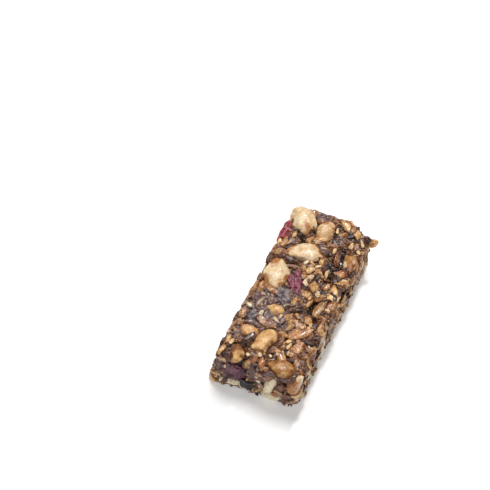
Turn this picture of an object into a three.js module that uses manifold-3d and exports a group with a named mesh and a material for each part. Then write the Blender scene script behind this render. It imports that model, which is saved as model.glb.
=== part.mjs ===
// A pressed bar of fruit paste, nuts and seeds, cut as a block and lying on its flat underside.
// Millimetres. X runs along the bar from its near end (-X) to its far end (+X), Y across it with
// the left side at +Y, and Z up. The origin is on the underside, in the middle.
//
// The paste with its small seeds and crumbs is one solid. Each nut, berry and slice that is as
// large as a berry is a solid of its own, and sits in a pocket of the paste.

import * as THREE from 'three';
import { mergeVertices } from 'three/addons/utils/BufferGeometryUtils.js';
import Module from 'manifold-3d';

const wasm = await Module();
wasm.setup();

// ---- driving dimensions -------------------------------------------------------------------

const LENGTH = 89;
const WIDTH = 36.4;
const HEIGHT = 19.5;

const PASTE_TOP = 17.2;        // mean level of the paste between the nuts
const RIM = 0.5;               // how far cut seeds stand out of the paste at the sides
const EDGE_RADIUS = 2.2;       // round of the upper edges
const FOOT_CHAMFER = 0.7;      // small chamfer round the underside
const RELIEF = 0.55;           // height of the slow waves in the paste
const GAP = 0.3;               // clearance of a nut in its pocket

// How far each end lies from the middle, and its slope, as it is cut a little out of square.
const ENDS = { near: { reach: 44.2, slope: 0.03 }, far: { reach: 44.7, slope: -0.05 } };

// Radius of each upright corner, seen from above.
const CORNERS = { nearLeft: 2, nearRight: 4, farLeft: 3.5, farRight: 5 };

// The far right corner is broken off along a line through this point, facing this way.
const BREAK_POINT = new THREE.Vector2(46.6, -4.5);
const BREAK_NORMAL = new THREE.Vector2(0.861, -0.509);

// Cells of the paste's skin along the bar, across it and up it.
const SKIN_CELLS = [18, 7, 4];

// The foot of the near left corner spreads out: centre, half-widths and how far.
const LIP = { at: [-43, 18.2, 0.5], half: [9, 9, 8], reach: 2.6 };

// Hollows in the paste: centre, half-widths and depth.
const HOLLOWS = [
  { at: [21, -10, 17], half: [8.5, 2.8, 4], depth: 2.8 },
  { at: [-4.6, -9.2, 17], half: [6, 1.4, 4], depth: 2.6 },
  { at: [-43.4, 6.4, 15.5], half: [4, 3, 2.6], depth: 2.8 },
  { at: [26.6, 7.6, 17], half: [2.6, 2.6, 4], depth: 2 },
  { at: [35.6, 4.8, 17], half: [4, 1.3, 3], depth: 1.6 },
  { at: [33.6, -3.6, 17], half: [3, 1.3, 3], depth: 1.6 },
  { at: [9.4, -9, 17], half: [2.6, 1.4, 3], depth: 1.6 },
  { at: [-12, -12.6, 17], half: [2.2, 1.6, 3], depth: 1.5 },
  { at: [-33, -17.1, 10], half: [6, 4, 4], depth: 1.2 },
  { at: [37, -13.4, 12], half: [5, 4, 5], depth: 1.2 },
  { at: [5, 18.1, 11], half: [6, 4, 4], depth: 1.3 },
  { at: [44, -1, 14], half: [4, 4, 4], depth: 1.2 },
  { at: [-44, -11.8, 12.2], half: [3, 3.4, 2.6], depth: 1.6 },
];

// Shapes of the kinds: how sharp the far end of the drop is (0.5 is round), and how finely it
// is faceted round its axis and along it.
const DROPS = {
  peanut: { tip: 0.56, sides: 8, rings: 5 },
  kernel: { tip: 0.85, sides: 7, rings: 5 },
  slice: { tip: 0.5, sides: 6, rings: 4 },
  seed: { tip: 0.82, sides: 5, rings: 3 },
  sesame: { tip: 0.75, sides: 4, rings: 2 },
  crisp: { tip: 0.5, sides: 5, rings: 3 },
};

// Wrinkled fruit: depth of its folds and how often they come.
const FRUITS = {
  cranberry: { fold: 0.1, waves: 2.2 },
  raisin: { fold: 0.14, waves: 3.1 },
};

const COLOURS = {
  paste: '#5d4436',
  peanut: '#e6cfa4',
  golden: '#cf9c5f',
  kernel: '#a8794a',
  slice: '#d9cbb0',
  cranberry: '#7d2f3e',
  raisin: '#37303a',
};

// The large pieces: name, kind of shape, colour, centre, size (long, wide, high) and turn in
// degrees (about Z, then the long axis up, then about the long axis).
const LARGE_PIECES = [
  ['peanut_1', 'peanut', 'peanut', [4.5, 11.2, 15.9], [17.6, 11, 7.2], [189, 0, 0]],
  ['peanut_2', 'peanut', 'peanut', [19.4, 4.7, 15.9], [15.6, 11.2, 6.8], [112, 2, 4]],
  ['peanut_3', 'peanut', 'peanut', [35.8, 11.4, 16], [16, 11, 7], [225, -3, -4]],
  ['peanut_4', 'peanut', 'golden', [34.7, 0.9, 15.8], [13, 7.8, 5.8], [-4, 0, 6]],
  ['peanut_5', 'peanut', 'golden', [-30, 2.7, 15.9], [15.8, 9, 6.6], [-20, 3, -6]],
  ['peanut_6', 'peanut', 'golden', [-27.8, 9.7, 16.1], [8.6, 7.4, 5.8], [70, 0, 8]],
  ['peanut_7', 'peanut', 'golden', [-39.2, 10.4, 16.2], [9.4, 6.6, 5.2], [4, -6, 12]],
  ['peanut_8', 'peanut', 'golden', [-41.6, -15.8, 13.2], [11.4, 7.2, 5], [-84, 58, 14]],
  ['peanut_9', 'peanut', 'golden', [4.2, -14.2, 15.2], [12.6, 6.4, 5.2], [10, 0, -20]],
  ['nut_piece_1', 'kernel', 'golden', [-13.2, 4.6, 16], [8.6, 6.4, 5], [85, 4, 0]],
  ['nut_piece_2', 'kernel', 'golden', [-4, 14.1, 15.8], [7.4, 5.2, 4.4], [15, 4, 12]],
  ['seed_large_1', 'kernel', 'kernel', [-39.5, -8.4, 17], [11.6, 7.8, 4], [88, 2, 0]],
  ['seed_large_2', 'kernel', 'kernel', [25.5, -13.9, 15.4], [12.8, 5.8, 4.2], [25, -4, -28]],
  ['cranberry_1', 'cranberry', 'cranberry', [3.4, 2.3, 16], [14.8, 6.4, 5], [22, 0, 4]],
  ['cranberry_2', 'cranberry', 'cranberry', [27, 16.9, 15.8], [13, 5.2, 5.6], [0, 2, 20]],
  ['cranberry_3', 'cranberry', 'cranberry', [-41.7, 9.2, 9.4], [11, 6, 9.4], [90, 8, 0]],
  ['raisin_1', 'raisin', 'raisin', [-5.2, 4.6, 15.8], [9.4, 8.2, 5], [30, 0, 0]],
  ['raisin_2', 'raisin', 'raisin', [-20, 11, 15.4], [10.4, 7.4, 4.8], [-12, 0, 4]],
  ['raisin_3', 'raisin', 'raisin', [-42.1, 3.7, 4.2], [7, 5.6, 6.6], [90, 12, 0]],
  ['slice_1', 'slice', 'slice', [-42.8, -5.9, 8], [12, 5, 3.4], [-84, 72, 90]],
  ['slice_2', 'slice', 'slice', [-42.4, -7, 2.2], [9.6, 5, 4], [92, -6, 0]],
  ['slice_3', 'slice', 'slice', [-16.2, -16.6, 6], [11, 4, 4.4], [-2, 56, 0]],
  ['slice_5', 'slice', 'slice', [-42.4, 10.4, 2.5], [9.2, 4.6, 4], [86, -4, 0]],
  // left side
  ['peanut_10', 'peanut', 'peanut', [-12, 15.4, 7], [13.6, 7.2, 8.6], [4, 12, 0]],
  ['cranberry_4', 'cranberry', 'cranberry', [13, 15.6, 6.4], [10.6, 6, 6.6], [-4, -10, 0]],
  ['raisin_4', 'raisin', 'raisin', [-30.6, 15.8, 6.6], [8, 5.4, 6.2], [6, 0, 0]],
  ['slice_4', 'slice', 'slice', [32, 16.4, 5], [10, 4, 4.6], [2, 16, 0]],
  // far end
  ['peanut_11', 'peanut', 'peanut', [41.4, 8, 7.4], [13, 7.4, 7.8], [94, -10, 0]],
  ['cranberry_5', 'cranberry', 'cranberry', [41.2, -7.6, 10.2], [9.6, 6, 6.8], [60, 8, 0]],
  ['raisin_5', 'raisin', 'raisin', [41.7, -2.6, 3.6], [7, 5.4, 5.4], [80, 0, 0]],
  // underside
  ['peanut_12', 'peanut', 'peanut', [-23, -6, 2.4], [14.6, 9.8, 6.6], [34, 0, 0]],
  ['peanut_13', 'peanut', 'peanut', [5, 5, 2.4], [14, 9.4, 6.4], [-42, 0, 0]],
  ['peanut_14', 'peanut', 'golden', [26, -7, 2.2], [12.6, 8.4, 6], [100, 0, 0]],
  ['cranberry_6', 'cranberry', 'cranberry', [-8, -7.6, 1.8], [11.4, 7.4, 5], [-24, 0, 0]],
  ['raisin_6', 'raisin', 'raisin', [18, 8, 1.8], [9, 7, 5], [50, 0, 0]],
];

// Kernels on the top that lie in known places: x, y, turn in degrees, length, width.
const TOP_KERNELS = [
  [-40.7, -0.9, 15, 6, 2.8],
  [-28, -10.8, -17, 10.3, 4.6],
  [-21.1, -9.9, -42, 11, 5],
  [-34.9, -13.7, 25, 7.5, 3],
  [-42.2, 4.3, 0, 4.2, 3.5],
  [-24.3, -3.4, -85, 4.2, 2.9],
  [-40, 16, -5, 6, 2.6],
  [-34.8, 15.8, 0, 4.4, 2.4],
  [-25.3, 15.4, 10, 5.4, 3],
  [-19.8, 15.9, 5, 7.7, 3],
  [-17.6, -4.2, 10, 5.8, 2.6],
  [-6, 16.6, -5, 8.4, 2.6],
  [-6, -1.2, 0, 5.5, 3.2],
  [-1.3, -3.7, 70, 6, 4.5],
  [3.7, -5.8, 10, 6.2, 4.4],
  [11.1, 2, 25, 4.2, 2.4],
  [12.4, -0.8, 5, 5.6, 2.8],
  [-4.5, -7, -12, 5.6, 2],
  [-5.3, -11.6, -12, 10.8, 4.2],
  [6.2, -10.5, -10, 4.8, 2.4],
  [-13, -9.2, 40, 5.4, 4.2],
  [-16.8, -6.8, 60, 8, 4],
  [-14.8, -15.9, 18, 7.6, 3],
  [-12.1, 11.3, -8, 7, 2.2],
  [-10.4, 13.5, 0, 6.4, 2.8],
  [12, -4.8, 75, 4.8, 3.4],
  [-14.6, -2.1, -20, 5.2, 4],
  [21.8, 14.6, 3, 9.2, 3],
  [26.9, 12.1, 0, 5.4, 2],
  [27.7, 5, -45, 5, 2.6],
  [23.2, -8.6, 15, 9, 2.8],
  [15, -13.1, 80, 6.4, 5],
  [22.8, -4.2, -10, 4.2, 2.8],
  [17.8, -4.1, -10, 4.4, 2.6],
  [41.6, -5.6, 30, 9, 4],
  [37.6, -12.2, 20, 6.4, 4],
  [41.8, 14, 75, 5, 2.6],
  [41.8, 9, 20, 5, 2.6],
  [31.3, -3.5, 20, 3.6, 2.4],
  [35.2, -6.6, -30, 5, 3],
  [39.4, -9.8, 0, 4.4, 3],
];

// Kernels in the sides that lie in known places: centre, turn, length, width.
const SIDE_KERNELS = [
  [[-43.6, 18.8, 2.2], [66, 18, 0], 7.4, 4.2],
  [[44.4, -2.6, 8.6], [96, -14, 20], 10, 4.6],
  [[-17.6, -17.4, 14.8], [8, -16, 50], 9.4, 4.6],
  [[-34, -17.4, 13.4], [-14, 20, 60], 9.4, 4.4],
  [[3, -17.5, 5.6], [0, -8, 60], 8.8, 4.6],
  [[29, -17.6, 11], [4, -24, 60], 10, 4.2],
];

// Parts of the sides where the paste lies bare: centre and reach.
const BARE_SIDES = [
  { at: [-44, 9, 10], reach: 8 },
  { at: [-44, -1, 8], reach: 4.5 },
  { at: [-43.5, -12.5, 12.5], reach: 4.6 },
];

// Crumbs that stand out past the cut sides.
const STRAY_CRUMBS = [
  { at: [39, -18.8, 14.4], size: [6, 3.4, 2.8], turn: [-62, 12, 0] },
];

const KERNEL_THICKNESS = 2.8;
const CRUMB_SIZE = 3.8;
const SESAME_SIZE = [3.2, 2, 1.2];
const CRISP_SIZE = [8, 3.4, 3];

// How many places are tried for each small thing, and how far apart they stay.
const TOP_TRIES = 420;
const SIDE_TRIES = 600;
const CRUMB_TRIES = 170;
const SESAME_TRIES = 90;
const CRISP_TRIES = 160;
const KERNEL_SPACING = 6.6;
const CRUMB_SPACING = 4.9;
const CRISP_LEVEL = 6.5;       // the puffed crisps lie below this level

// ---- random numbers -------------------------------------------------------------------------

// A seeded stream of numbers from 0 to 1.
function makeRandom(seed) {
  let state = seed;
  return () => {
    state = (state + 0x6d2b79f5) | 0;
    let mixed = Math.imul(state ^ (state >>> 15), 1 | state);
    mixed = (mixed + Math.imul(mixed ^ (mixed >>> 7), 61 | mixed)) ^ mixed;
    return ((mixed ^ (mixed >>> 14)) >>> 0) / 4294967296;
  };
}

// ---- outline and relief of the paste -----------------------------------------------------------

// Slow waves from -1 to 1 that make the paste uneven.
function waves(x, y, z) {
  const long = Math.sin(0.42 * x + 0.9 * y + 0.31 * z + 1);
  const cross = Math.sin(0.83 * x - 0.61 * y + 0.55 * z + 2.3);
  const short = Math.sin(-0.57 * x + 1.35 * y - 0.9 * z + 4.1);
  return 0.4 * long + 0.35 * cross + 0.25 * short;
}

function cornerRadius(x, y) {
  if (x < 0) {
    return y > 0 ? CORNERS.nearLeft : CORNERS.nearRight;
  }
  return y > 0 ? CORNERS.farLeft : CORNERS.farRight;
}

// Distance from a point, seen from above, to the bar's outline: positive inside.
function depthInside(x, y) {
  const radius = cornerRadius(x, y);
  const end = x < 0 ? ENDS.near : ENDS.far;
  const outX = Math.abs(x - end.slope * y) - (end.reach - radius);
  const outY = Math.abs(y) - (WIDTH / 2 - radius);
  const corner = Math.hypot(Math.max(outX, 0), Math.max(outY, 0));
  const block = radius - corner - Math.min(Math.max(outX, outY), 0);
  const broken = (BREAK_POINT.x - x) * BREAK_NORMAL.x + (BREAK_POINT.y - y) * BREAK_NORMAL.y;
  return Math.min(block, broken);
}

// Moves a point across the outline until it lies at the given depth inside it.
function moveToDepth(x, y, depth) {
  const step = 0.01;
  let px = x;
  let py = y;
  for (let i = 0; i < 6; i += 1) {
    const here = depthInside(px, py);
    const slopeX = (depthInside(px + step, py) - here) / step;
    const slopeY = (depthInside(px, py + step) - here) / step;
    const steepness = Math.max(slopeX * slopeX + slopeY * slopeY, 0.2);
    px += slopeX * (depth - here) / steepness;
    py += slopeY * (depth - here) / steepness;
  }
  return [px, py];
}

// From 1 at the middle of a hollow or a lip to 0 well outside it.
function fade({ at, half }, x, y, z) {
  const dx = (x - at[0]) / half[0];
  const dy = (y - at[1]) / half[1];
  const dz = (z - at[2]) / half[2];
  return Math.exp(-(dx * dx + dy * dy + dz * dz));
}

// How deep the hollows are at a point.
function hollowDepth(x, y, z) {
  return HOLLOWS.reduce((depth, hollow) => depth + hollow.depth * fade(hollow, x, y, z), 0);
}

// Level of the paste on top of the bar.
function pasteLevel(x, y) {
  const in_ = Math.min(Math.max(depthInside(x, y) - RIM, 0), EDGE_RADIUS);
  const over = EDGE_RADIUS - in_;
  const drop = EDGE_RADIUS - Math.sqrt(EDGE_RADIUS * EDGE_RADIUS - over * over);
  return PASTE_TOP + RELIEF * waves(x, y, 0) - drop - hollowDepth(x, y, PASTE_TOP);
}

// ---- solids ----------------------------------------------------------------------------------

// A closed solid from a geometry, with its shared corners merged.
function toSolid(geometry) {
  const bare = geometry.clone();
  bare.deleteAttribute('normal');
  bare.deleteAttribute('uv');
  const merged = mergeVertices(bare, 1e-4);
  return new wasm.Manifold(new wasm.Mesh({
    numProp: 3,
    vertProperties: new Float32Array(merged.attributes.position.array),
    triVerts: new Uint32Array(merged.index.array),
  }));
}

// Moves each corner of a geometry to where a function puts it.
function reshape(geometry, place) {
  const position = geometry.attributes.position;
  const point = new THREE.Vector3();
  for (let i = 0; i < position.count; i += 1) {
    point.fromBufferAttribute(position, i);
    place(point);
    position.setXYZ(i, point.x, point.y, point.z);
  }
  return geometry;
}

// A skin with the bar's outline. sideDepth and topLevel say where its sides and its top are.
function blockSolid(floor, sideDepth, topLevel) {
  const box = new THREE.BoxGeometry(2, 2, 1, ...SKIN_CELLS);
  const edgeShare = 1 - Math.SQRT1_2;
  return toSolid(reshape(box, (p) => {
    const up = p.z + 0.5;
    const onSide = Math.max(Math.abs(p.x), Math.abs(p.y)) > 0.999;
    let x = p.x * LENGTH / 2;
    let y = p.y * WIDTH / 2;
    const z = up * PASTE_TOP;
    let depth = sideDepth(x, y, z);
    if (up > 0.999) {
      depth = RIM * (depth > 0.1 ? 1 : 0) + EDGE_RADIUS * edgeShare;
    }
    if (up < 0.001) {
      depth += FOOT_CHAMFER;
    }
    if (onSide || depthInside(x, y) < depth) {
      [x, y] = moveToDepth(x, y, depth);
    }
    const level = up > 0.999 ? topLevel(x, y) : floor + up * (PASTE_TOP - EDGE_RADIUS - floor) * 1.12;
    p.set(x, y, level);
  }));
}

// The paste without its nuts and seeds. Its floor lies below the underside, and is cut later.
function pasteSolid() {
  const side = (x, y, z) => {
    const relief = 0.25 + 0.45 * RELIEF * waves(x, y, z);
    return RIM + relief + hollowDepth(x, y, z) - LIP.reach * fade(LIP, x, y, z);
  };
  return blockSolid(-1, side, pasteLevel);
}

// The space that the whole bar fills, which cuts the seeds off flush at the sides.
function envelopeSolid() {
  const top = (x, y) => {
    const over = EDGE_RADIUS - Math.min(Math.max(depthInside(x, y), 0), EDGE_RADIUS);
    return HEIGHT - EDGE_RADIUS + Math.sqrt(EDGE_RADIUS * EDGE_RADIUS - over * over);
  };
  return blockSolid(0, (x, y, z) => -LIP.reach * fade(LIP, x, y, z), top);
}

// A drop with its long axis along X and its sharper end at +X.
function dropGeometry(size, shape, irregular) {
  const blunt = 0.5;
  const widest = blunt / (blunt + shape.tip);
  const most = (widest ** blunt) * ((1 - widest) ** shape.tip);
  const ball = new THREE.SphereGeometry(1, shape.sides, shape.rings);
  ball.rotateZ(Math.PI / 2);
  return reshape(ball, (p) => {
    const along = THREE.MathUtils.clamp((p.x + 1) / 2, 0, 1);
    const radius = Math.hypot(p.y, p.z);
    const wanted = (along ** blunt) * ((1 - along) ** shape.tip) / most;
    const round = radius > 1e-6 ? wanted / radius : 0;
    const angle = Math.atan2(p.z, p.y);
    const bulge = 1 + 0.05 * Math.sin(3 * angle + irregular) + 0.04 * Math.sin(7 * along + irregular);
    p.set(p.x * size[0] / 2, p.y * round * bulge * size[1] / 2, p.z * round * bulge * size[2] / 2);
  });
}

// A dried fruit: a flattened ball with soft folds.
function fruitGeometry(size, fruit, irregular) {
  const ball = new THREE.IcosahedronGeometry(1, 1);
  return reshape(ball, (p) => {
    const a = Math.sin(fruit.waves * (p.x + 0.6 * p.y) * 1.7 + irregular);
    const b = Math.sin(fruit.waves * (p.y - 0.8 * p.z) * 2.1 + 2 * irregular);
    p.multiplyScalar(1 + fruit.fold * (0.6 * a + 0.4 * b) - fruit.fold * 0.3);
    p.set(p.x * size[0] / 2, p.y * size[1] / 2, p.z * size[2] / 2);
  });
}

// A chopped crumb of nut: a block with knocked corners.
function crumbGeometry(size, irregular) {
  const ball = new THREE.IcosahedronGeometry(1, 0);
  return reshape(ball, (p) => {
    const knock = 1 + 0.2 * Math.sin(5 * p.x + 3 * p.y + irregular) * Math.cos(4 * p.z + irregular);
    p.multiplyScalar(knock);
    p.set(p.x * size[0] / 2, p.y * size[1] / 2, p.z * size[2] / 2);
  });
}

// Turns about Z, tips the long axis up, rolls about it, and moves into place.
function placement(at, turn) {
  const [yaw, pitch, roll] = turn.map(THREE.MathUtils.degToRad);
  const matrix = new THREE.Matrix4();
  matrix.makeRotationFromEuler(new THREE.Euler(roll, -pitch, yaw, 'ZYX'));
  return matrix.setPosition(...at);
}

// The geometry of a large piece, grown by a clearance all round.
function largeGeometry(piece, grow) {
  const [, kind, , at, size, turn] = piece;
  const grown = size.map((side) => side + 2 * grow);
  const irregular = 3 * at[0] + at[1];
  const geometry = kind in FRUITS
    ? fruitGeometry(grown, FRUITS[kind], irregular)
    : dropGeometry(grown, DROPS[kind], irregular);
  return geometry.applyMatrix4(placement(at, turn));
}

// ---- places of the small things -----------------------------------------------------------------

// Says whether a point lies inside a large piece that is grown by a margin.
function insideLarge(x, y, z, margin) {
  return LARGE_PIECES.some(([, , , at, size, turn]) => {
    const point = new THREE.Vector3(x, y, z).applyMatrix4(placement(at, turn).invert());
    const dx = point.x / (size[0] / 2 + margin);
    const dy = point.y / (size[1] / 2 + margin);
    const dz = point.z / (size[2] / 2 + margin);
    return dx * dx + dy * dy + dz * dz < 1;
  });
}

function isFree(placed, at, spacing) {
  return placed.every((other) => Math.hypot(
    other.at[0] - at[0],
    other.at[1] - at[1],
    1.6 * (other.at[2] - at[2]),
  ) > spacing);
}

// Kernels that lie nearly flat on the top: first the known ones, then more between them.
function topKernels(random) {
  const placed = TOP_KERNELS.map(([x, y, yaw, length, width]) => ({
    at: [x, y, pasteLevel(x, y) + 0.35],
    size: [length, width, KERNEL_THICKNESS],
    turn: [yaw, 0, 0],
  }));
  for (let i = 0; i < TOP_TRIES; i += 1) {
    const draw = Array.from({ length: 6 }, random);
    const x = (draw[0] - 0.5) * (LENGTH - 4);
    const y = (draw[1] - 0.5) * (WIDTH - 4);
    const at = [x, y, pasteLevel(x, y) + 0.5 * draw[5]];
    const free = depthInside(x, y) > 2.4
      && !insideLarge(x, y, at[2], 1.2)
      && isFree(placed, at, KERNEL_SPACING);
    if (free) {
      placed.push({
        at,
        size: [8.6 + 2.2 * draw[2], 4.1 + draw[3], KERNEL_THICKNESS],
        turn: [360 * draw[4], 24 * (draw[2] - 0.5), 50 * (draw[3] - 0.5)],
      });
    }
  }
  return placed;
}

// A point on the bar's upright sides, from how far round the bar it lies.
function sidePoint(share, z, depth) {
  const round = share * 2 * (LENGTH + WIDTH);
  if (round < 2 * LENGTH) {
    const x = (round % LENGTH) - LENGTH / 2;
    const [px, py] = moveToDepth(x, round < LENGTH ? WIDTH / 2 : -WIDTH / 2, depth);
    return [px, py, z];
  }
  const rest = round - 2 * LENGTH;
  const y = (rest % WIDTH) - WIDTH / 2;
  const [px, py] = moveToDepth(rest < WIDTH ? LENGTH / 2 : -LENGTH / 2, y, depth);
  return [px, py, z];
}

// The kernels in the sides whose places are known.
function knownSideKernels() {
  return SIDE_KERNELS.map(([at, turn, length, width]) => ({
    at,
    size: [length, width, KERNEL_THICKNESS],
    turn,
  }));
}

function onBareSide([x, y, z]) {
  return BARE_SIDES.some(({ at, reach }) => Math.hypot(x - at[0], y - at[1], z - at[2]) < reach);
}

// Things in the cut sides. Each keeps its own spacing from all that is there already.
function sideThings(random, others, tries, levels, spacing, size, tilt) {
  const placed = [];
  for (let i = 0; i < tries; i += 1) {
    const draw = Array.from({ length: 7 }, random);
    const z = levels[0] + (levels[1] - levels[0]) * draw[1];
    const at = sidePoint(draw[0], z, RIM + 0.9 * draw[2]);
    const free = !insideLarge(...at, 1)
      && !onBareSide(at)
      && isFree(others, at, spacing)
      && isFree(placed, at, spacing);
    if (free) {
      placed.push({
        at,
        size: size.map((side) => side * (0.85 + 0.3 * draw[3])),
        turn: [360 * draw[4], tilt * (draw[5] - 0.5), tilt * (draw[6] - 0.5)],
      });
    }
  }
  return placed;
}

// Small things on the top: crumbs and sesame.
function topThings(random, others, tries, spacing, size, sink) {
  const placed = [];
  for (let i = 0; i < tries; i += 1) {
    const draw = Array.from({ length: 5 }, random);
    const x = (draw[0] - 0.5) * (LENGTH - 3);
    const y = (draw[1] - 0.5) * (WIDTH - 3);
    const at = [x, y, pasteLevel(x, y) + sink];
    const free = depthInside(x, y) > 1.6
      && !insideLarge(x, y, at[2], 0.9)
      && isFree(others, at, spacing)
      && isFree(placed, at, spacing);
    if (free) {
      placed.push({
        at,
        size: size.map((side) => side * (0.75 + 0.5 * draw[2])),
        turn: [360 * draw[3], 40 * (draw[4] - 0.5), 40 * (draw[2] - 0.5)],
      });
    }
  }
  return placed;
}

// ---- the pieces -------------------------------------------------------------------------------

function dropSolids(things, shape) {
  return things.map(({ at, size, turn }) => toSolid(
    dropGeometry(size, shape, at[0]).applyMatrix4(placement(at, turn)),
  ));
}

function crumbSolids(things) {
  return things.map(({ at, size, turn }) => toSolid(
    crumbGeometry(size, at[0]).applyMatrix4(placement(at, turn)),
  ));
}

// All seeds, crumbs and crisps that are fused to the paste.
function smallSolids() {
  const kernelSize = [9.7, 4.5, KERNEL_THICKNESS];
  const sideLevels = [1.2, PASTE_TOP - 2];
  const onTop = topKernels(makeRandom(11));
  const known = knownSideKernels();
  const crispLevels = [1, CRISP_LEVEL];
  const crisps = sideThings(makeRandom(23), known, CRISP_TRIES, crispLevels, 7.5, CRISP_SIZE, 50);
  const inSides = sideThings(
    makeRandom(37), [...known, ...crisps], SIDE_TRIES, sideLevels, KERNEL_SPACING, kernelSize, 70,
  );
  const kernels = [...onTop, ...known, ...inSides];
  const taken = [...kernels, ...crisps];
  const crumbBlock = [CRUMB_SIZE, CRUMB_SIZE * 0.8, CRUMB_SIZE * 0.7];
  const topCrumbs = topThings(makeRandom(41), taken, CRUMB_TRIES, CRUMB_SPACING, crumbBlock, 0.2);
  const sesame = topThings(
    makeRandom(53), [...taken, ...topCrumbs], SESAME_TRIES, 3.4, SESAME_SIZE, 0.3,
  );
  return [
    ...dropSolids(kernels, DROPS.seed),
    ...dropSolids(crisps, DROPS.crisp),
    ...crumbSolids(topCrumbs),
    ...dropSolids(sesame, DROPS.sesame),
  ];
}

// The largest body of a solid, so that no loose scrap is left.
function largestBody(solid) {
  const bodies = solid.decompose();
  return bodies.reduce((best, body) => (body.volume() > best.volume() ? body : best));
}

// A named mesh whose own origin is at the middle of its box.
function meshFrom(name, solid, colour, roughness) {
  const clean = largestBody(solid.simplify(0.05));
  const { vertProperties, triVerts } = clean.getMesh();
  const geometry = new THREE.BufferGeometry();
  geometry.setAttribute('position', new THREE.BufferAttribute(vertProperties, 3));
  geometry.setIndex(new THREE.BufferAttribute(triVerts, 1));
  geometry.computeBoundingBox();
  const middle = geometry.boundingBox.getCenter(new THREE.Vector3());
  geometry.translate(-middle.x, -middle.y, -middle.z);
  geometry.computeVertexNormals();
  const material = new THREE.MeshStandardMaterial({
    color: colour,
    roughness,
    metalness: 0,
    flatShading: true,
  });
  const mesh = new THREE.Mesh(geometry, material);
  mesh.name = name;
  mesh.position.copy(middle);
  return mesh;
}

function buildBar() {
  const bar = new THREE.Group();
  bar.name = 'granola_bar';
  const envelope = envelopeSolid().simplify(0.1);

  // A large piece is cut to the bar's outline, and then by the pockets of those before it.
  const pockets = [];
  for (const piece of LARGE_PIECES) {
    let solid = toSolid(largeGeometry(piece, 0)).intersect(envelope);
    pockets.forEach((pocket) => {
      solid = solid.subtract(pocket);
    });
    pockets.push(toSolid(largeGeometry(piece, GAP)));
    const glossy = piece[1] in FRUITS;
    bar.add(meshFrom(piece[0], solid, COLOURS[piece[2]], glossy ? 0.35 : 0.5));
  }

  let paste = pasteSolid();
  smallSolids().forEach((small) => {
    paste = paste.add(small);
  });
  paste = paste.intersect(envelope);
  crumbSolids(STRAY_CRUMBS).forEach((crumb) => {
    paste = paste.add(crumb);
  });
  pockets.forEach((pocket) => {
    paste = paste.subtract(pocket);
  });
  bar.add(meshFrom('bar', paste, COLOURS.paste, 0.4));
  return bar;
}

export default buildBar();
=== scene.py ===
"""Looks of a pressed bar of fruit paste, nuts and seeds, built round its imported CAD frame.

Lengths here are millimetres along the frame's own axes, and meshes are written in metres: X runs
along the bar from its near end, Y across it towards its left side, and Z up from its underside.
The outline, the waves of the paste and the places of the seeds follow the same rules and the same
streams of random numbers as the solids, so the fine pieces lie where the faceted ones do.
"""
import math
from collections import namedtuple

import bmesh
import bpy
import numpy as np
import openvdb
from mathutils import Euler, Matrix, Vector


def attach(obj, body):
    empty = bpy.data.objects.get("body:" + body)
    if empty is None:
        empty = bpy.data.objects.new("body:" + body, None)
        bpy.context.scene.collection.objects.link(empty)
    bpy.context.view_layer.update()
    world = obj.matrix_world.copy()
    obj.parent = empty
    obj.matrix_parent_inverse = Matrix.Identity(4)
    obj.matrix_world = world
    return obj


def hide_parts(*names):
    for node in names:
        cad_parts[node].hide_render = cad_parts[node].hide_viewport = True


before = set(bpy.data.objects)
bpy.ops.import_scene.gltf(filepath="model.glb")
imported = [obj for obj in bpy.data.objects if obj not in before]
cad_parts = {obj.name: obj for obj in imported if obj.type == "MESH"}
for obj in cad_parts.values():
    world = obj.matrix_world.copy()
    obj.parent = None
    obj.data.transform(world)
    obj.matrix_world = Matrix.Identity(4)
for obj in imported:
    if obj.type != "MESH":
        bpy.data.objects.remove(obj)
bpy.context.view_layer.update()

# ---- sizes of the bar ----

MM = 0.001
LENGTH, WIDTH, HEIGHT = 89.0, 36.4, 19.5
PASTE_TOP = 17.2
RIM = 0.5
EDGE_RADIUS = 2.2
RELIEF = 0.55
NEAR_END, FAR_END = (44.2, 0.03), (44.7, -0.05)
CORNERS = {"near_left": 2.0, "near_right": 4.0, "far_left": 3.5, "far_right": 5.0}
BREAK_POINT = (46.6, -4.5)
BREAK_NORMAL = (0.861, -0.509)

# The foot of the near left corner spreads out: centre, half-widths and how far.
LIP = ((-43, 18.2, 0.5), (9, 9, 8), 2.6)

# Hollows in the paste: centre, half-widths, depth.
HOLLOWS = [
    ((21, -10, 17), (8.5, 2.8, 4), 2.8), ((-4.6, -9.2, 17), (6, 1.4, 4), 2.6),
    ((-43.4, 6.4, 15.5), (4, 3, 2.6), 2.8), ((26.6, 7.6, 17), (2.6, 2.6, 4), 2),
    ((35.6, 4.8, 17), (4, 1.3, 3), 1.6), ((33.6, -3.6, 17), (3, 1.3, 3), 1.6),
    ((9.4, -9, 17), (2.6, 1.4, 3), 1.6), ((-12, -12.6, 17), (2.2, 1.6, 3), 1.5),
    ((-33, -17.1, 10), (6, 4, 4), 1.2), ((37, -13.4, 12), (5, 4, 5), 1.2),
    ((5, 18.1, 11), (6, 4, 4), 1.3), ((44, -1, 14), (4, 4, 4), 1.2),
    ((-44, -11.8, 12.2), (3, 3.4, 2.6), 1.6),
]

# How sharp the far end of each kind of drop is.
ROUND_TIP = 0.5
TIPS = {"peanut": 0.56, "kernel": 0.85, "slice": 0.5, "seed": 0.82, "sesame": 0.75, "crisp": 0.5}

# Shapes of the large pieces whose nodes have other names.
OTHER_SHAPES = {"nut_piece": "kernel", "seed_large": "kernel"}

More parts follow.
